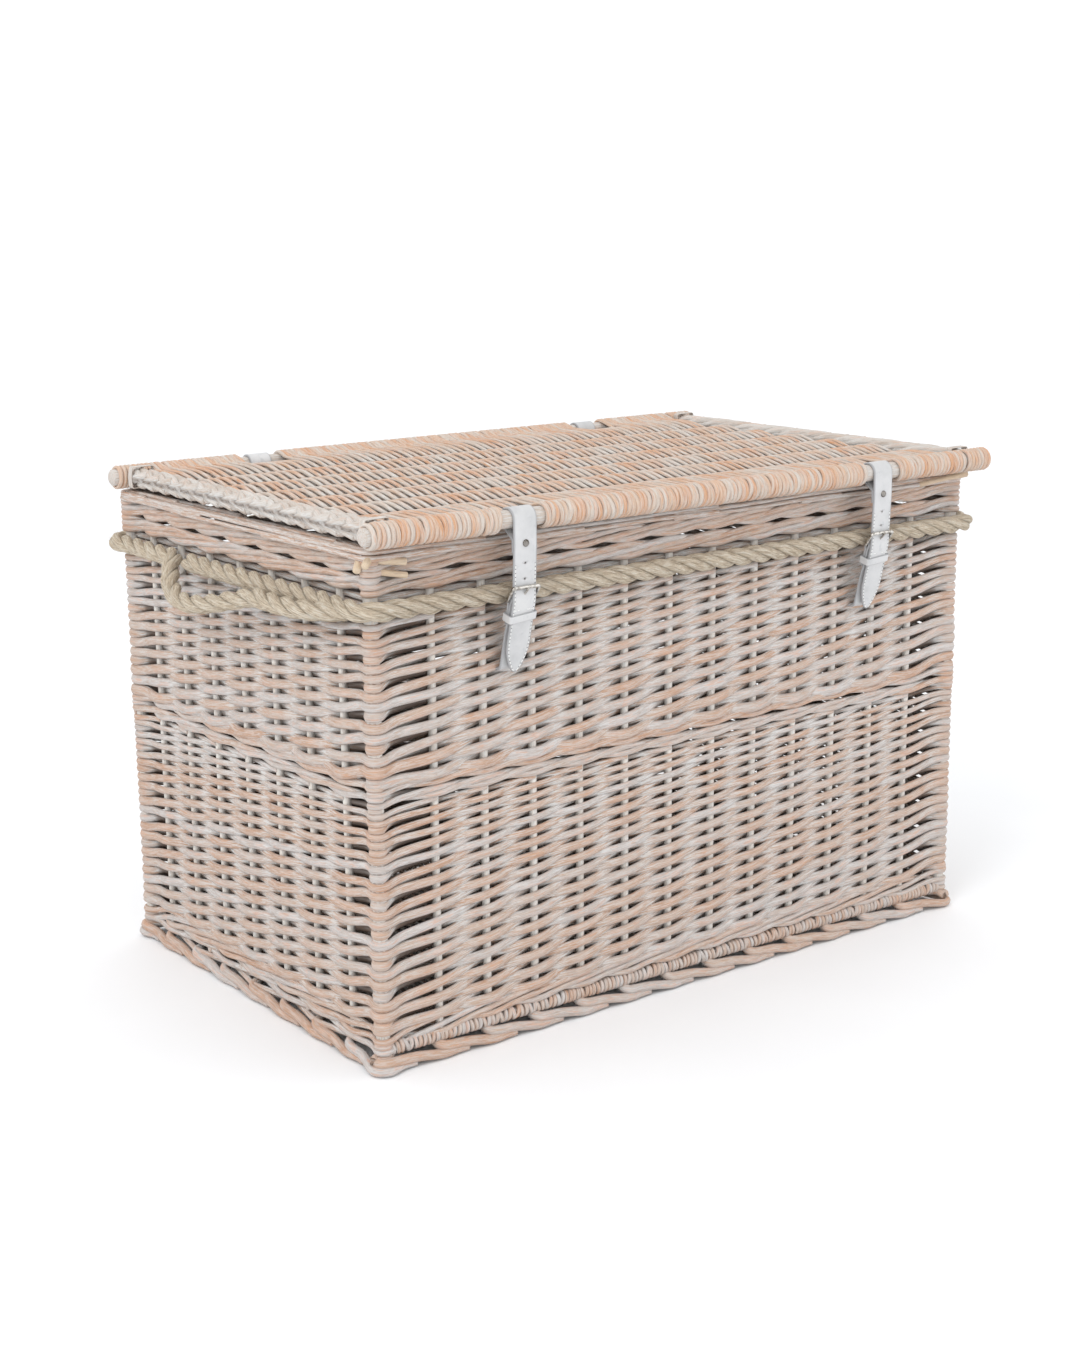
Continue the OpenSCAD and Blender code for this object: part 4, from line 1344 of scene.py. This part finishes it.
def tab(side, x, leather):
    """The tab folds round the buckle's heel bar, runs down to the wall and goes in through its slot."""
    lean = math.atan2(TAB_DIR[1], TAB_DIR[0])
    fold = arc(HEEL, WIRE_R + RUNNING + LEATHER / 2, lean + math.radians(48), lean + math.radians(312))
    layer = LEATHER / 2 + 0.05
    inside = FRONT_Y + WALL + LEATHER
    line = [
        on_tab(TAB_FOLD, -layer), on_tab(5.0, -layer), *fold, on_tab(5.0, layer), on_tab(TAB_FOLD, layer),
        on_tab(TAB_FOLD + 8.0, 0.2), TAB_END, np.array([FRONT_Y, SLOT_Z]), np.array([inside, SLOT_Z]),
        np.array([inside, SLOT_Z + FLANGE]),
    ]
    path = at_x(x, soften(line, 1.4, 1.8))
    body = Solids()
    body.strip(path, ACROSS, STRAP_W, LEATHER)
    notch = Solids()
    gap, reach = 2.5, 8.0
    corners = [(-gap, -reach), (gap, -reach), (gap, reach), (-gap, reach)]
    rings = [[(x + a, HEEL[0] + b, z) for a, b in corners] for z in (HEEL[1] - 6, HEEL[1] + 10)]
    notch.sweep(rings, np.zeros(len(corners)))
    body.build("leather_tab_" + side, "trunk", leather, "leather", "tab_" + side, notch)


def keeper(side, x, leather):
    """A leather loop round the tab and the strap's tail, a little crooked."""
    middle = on_tab(15.5, 2.2)
    wide, deep = (STRAP_W + 0.8) / 2 + 0.9, 4.9 + 0.9
    corners = [(-wide, -deep), (wide, -deep), (wide, deep), (-wide, deep)]
    ring = soften(corners, 1.2, 1.6, closed=True)
    ring = [(x + a, *(middle + b * TAB_OUT - KEEPER_SLANT * a * TAB_DIR)) for a, b in ring]
    body = Solids()
    body.strip(ring, np.array([0.0, *TAB_DIR]), 8.0, 1.9, closed=True)
    body.build("leather_keeper_" + side, "trunk", leather, "leather", "keeper_" + side)


def buckle(side, x, metal):
    """A wire frame with flattened cheeks."""
    rise = FRONT_BAR - HEEL
    long = np.linalg.norm(rise)
    corners = [(-BUCKLE_HALF, 0), (BUCKLE_HALF, 0), (BUCKLE_HALF, long), (-BUCKLE_HALF, long)]
    line = soften(corners, 0.8, 1.6, closed=True)
    path = np.array([(x + a, *(HEEL + rise * b / long)) for a, b in line])
    cheek = np.clip((np.abs(line[:, 0]) - BUCKLE_HALF + 2.0) / 1.6, 0, 1)
    front = np.clip((line[:, 1] - long + 1.6) / 1.6, 0, 1) * (1 - cheek)
    radii = np.column_stack([WIRE_R - 0.45 * cheek + 0.4 * front, WIRE_R + 0.3 * cheek])
    out = np.cross(ACROSS, [0.0, *unit(rise)])
    body = Solids()
    body.wire(path, radii, out, closed=True)
    body.build("nickel_buckle_" + side, "buckle_" + side, metal, "nickel", "buckle_frame_" + side)


def prong(side, x, metal):
    """A wire bent into an eye round the heel bar, with its tip on the front bar."""
    ahead = np.array([math.cos(PRONG_LEAN), math.sin(PRONG_LEAN)])
    start, end = PRONG_LEAN - math.radians(330), PRONG_LEAN - math.radians(62)
    eye = arc(HEEL, WIRE_R + RUNNING + 0.75, start, end, math.radians(20))
    shank = [HEEL + d * ahead for d in (5.0, 9.0, 13.0, 16.5, 18.2)]
    line = smooth(at_x(x, [*eye, *shank]), 0.8)
    away = np.linalg.norm(line[:, 1:] - HEEL, axis=1)
    wide = np.interp(away, [0, 5, 14, 18.2], [1.3, 1.3, 1.15, 0.75])
    high = np.interp(away, [0, 4, 7, 16, 18.2], [0.75, 0.8, 1.15, 1.1, 0.7])
    body = Solids()
    body.wire(line, np.column_stack([high, wide]), ACROSS)
    body.build("nickel_prong_" + side, "prong_" + side, metal, "nickel", "prong_" + side)


# Rivet heads, as radius and height from the rim to the crown.
DOME = [(3.1, 0.0), (3.5, 0.12), (3.5, 0.35), (3.2, 1.0), (2.4, 1.65), (1.3, 2.1), (0.4, 2.2)]
WASHER = [(2.7, 0.0), (3.0, 0.15), (3.0, 0.6), (2.7, 0.8), (0.6, 0.8)]
FLAT_HEAD = [(3.0, 0.0), (3.2, 0.1), (3.2, 0.45), (2.9, 0.68), (0.6, 0.7)]


def strap_rivet(side, x, metal):
    """A domed head in front, a washer behind and the shank between them."""
    seat, z = at_front(-27.0 - LEATHER / 2, STRAP_RIVET_Z)
    body = Solids()
    body.turned((x, seat, z), OUTWARD, DOME)
    body.turned((x, seat + 2 * LEATHER + 1.0, z), BACKWARDS, WASHER)
    body.turned((x, seat + 2 * LEATHER + 1.1, z), OUTWARD, [(1.5, 0.0), (1.5, 2 * LEATHER + 1.2)])
    body.build("nickel_strap_rivet_" + side, "strap_" + side, metal, "nickel", "strap_rivet_" + side)


def tab_rivets(metal):
    body = Solids()
    out = np.array([0.0, *TAB_OUT])
    for x in (-STRAP_X, STRAP_X):
        for turn in (-1, 1):
            body.turned((x, *on_tab(TAB_RIVET_DOWN, turn * LEATHER)), turn * out, FLAT_HEAD)
    body.build("nickel_tab_rivets", "trunk", metal, "nickel", "tab_rivets")


def hinge_loop(side, x, leather):
    """A leather loop round the lid's back stick and through the wall below the rim."""
    over_stick = arc(np.array([LID_BACK, LID_Z]), LOOP_MID, 0.0, math.pi)
    outer, inner = BACK_Y + 1.6, BACK_Y - WALL - 3.6
    line = [
        (outer, HINGE_LOW), (outer, RIM_TOP + 2.8), *over_stick, (inner, RIM_TOP), (inner, HINGE_LOW),
    ]
    body = Solids()
    body.strip(at_x(x, soften(line, 1.6, 2.0, closed=True)), ACROSS, STRAP_W, LEATHER, closed=True)
    body.build("leather_hinge_" + side, "trunk", leather, "leather", "hinge_loop_" + side)


def hinge_rivets(metal):
    body = Solids()
    for x in (-HINGE_X, HINGE_X):
        body.turned((x, BACK_Y + 2.7, HINGE_RIVET_Z), BACKWARDS, DOME)
    body.build("nickel_hinge_rivets", "trunk", metal, "nickel", "hinge_rivets")


# ---- assembly ----

# Rod colours, from bare to whitewashed.
WEAVE_TONES = [srgb(182, 145, 121), srgb(188, 164, 147), srgb(182, 172, 166), srgb(200, 195, 193)]
LID_TONES = [srgb(200, 148, 110), srgb(204, 172, 146), srgb(196, 181, 168), srgb(208, 198, 187)]
STAKE_TONES = [srgb(212, 205, 196), srgb(228, 223, 216)]
CUT_TONES = [srgb(190, 160, 132), srgb(204, 180, 152), srgb(214, 196, 170)]
PALE_TONES = [srgb(180, 164, 150), srgb(192, 180, 169), srgb(198, 190, 182), srgb(208, 203, 197)]


def make_body():
    weave = willow("willow_weave", WEAVE_TONES)
    upright_rods(3, willow("willow_stakes", STAKE_TONES, wash=0.7, tan=0.1))
    for name, levels, rise, seed in (
        ("lower_siding", 16, lambda t: 0.0335 + 1.1126 * t - 0.1576 * t**3, 11),
        ("upper_siding", 11, lambda t: 0.0307 + 1.1289 * t - 0.2018 * t**2, 12),
    ):
        randing("willow_" + name, name, levels, rise, seed, weave)
    for node, rounds, margin, dip, thick, extra, seed in (
        ("base_waling", [3], 0.5, 12.0, 1.0, base_fill, 21),
        ("middle_waling", [2, 2], 3.0, 0.0, 1.0, None, 22),
        ("top_waling", [3, 3], 0.0, 0.0, 1.08, rope_backing, 23),
    ):
        low, high = node_box(node)
        step = (high[2] - low[2] - 2 * margin) / sum(rounds)
        rods = Rods(seed, wall_shade_and_wear)
        z = low[2] + margin
        for n, fronts in enumerate(rounds):
            waling(rods, z, step, fronts, first=2 * n - 6, thick=thick, dip=dip)
            z += fronts * step
        if extra:
            extra(rods)
        rods.build("willow_" + node, "trunk", weave, "willow_weave", node)
    base_weave(35, weave)
    foot_border(31, weave)
    rim_border(32, weave)
    cut_ends(33, willow("willow_cut", CUT_TONES, wash=0.15, tan=0.2))


def make_lid():
    weave = willow("willow_lid", LID_TONES, wash=0.6, tan=0.65)
    pale = willow("willow_lid_pale", PALE_TONES, wash=0.7, tan=0.3)
    lid_weave(41, weave)
    lid_sticks(42, pale)
    lid_border(-1, 44, pale)
    lid_border(1, 45, pale)
    corner_lashings(46, pale)


def make_fittings():
    leather = leather_white("leather_white")
    thread = stitch_thread("thread_white")
    metal = nickel_plate("nickel_worn", (0.30, 0.28, 0.25), (0.66, 0.64, 0.60))
    # A darker copy of the worn nickel for the rivet heads: painted shade standing in for the dark
    # surroundings their domes reflect.
    dull = nickel_plate("nickel_painted_shade", (0.07, 0.06, 0.05), (0.30, 0.28, 0.26))
    for side, turn in (("left", -1), ("right", 1)):
        x = turn * STRAP_X
        strap(side, x, leather, thread)
        tab(side, x, leather)
        keeper(side, x, leather)
        buckle(side, x, metal)
        prong(side, x, metal)
        strap_rivet(side, x, dull)
        hinge_loop(side, turn * HINGE_X, leather)
    tab_rivets(dull)
    hinge_rivets(dull)


make_camera()
ropes(hemp("rope_fibres"))
make_stage()
make_body()
make_lid()
make_fittings()
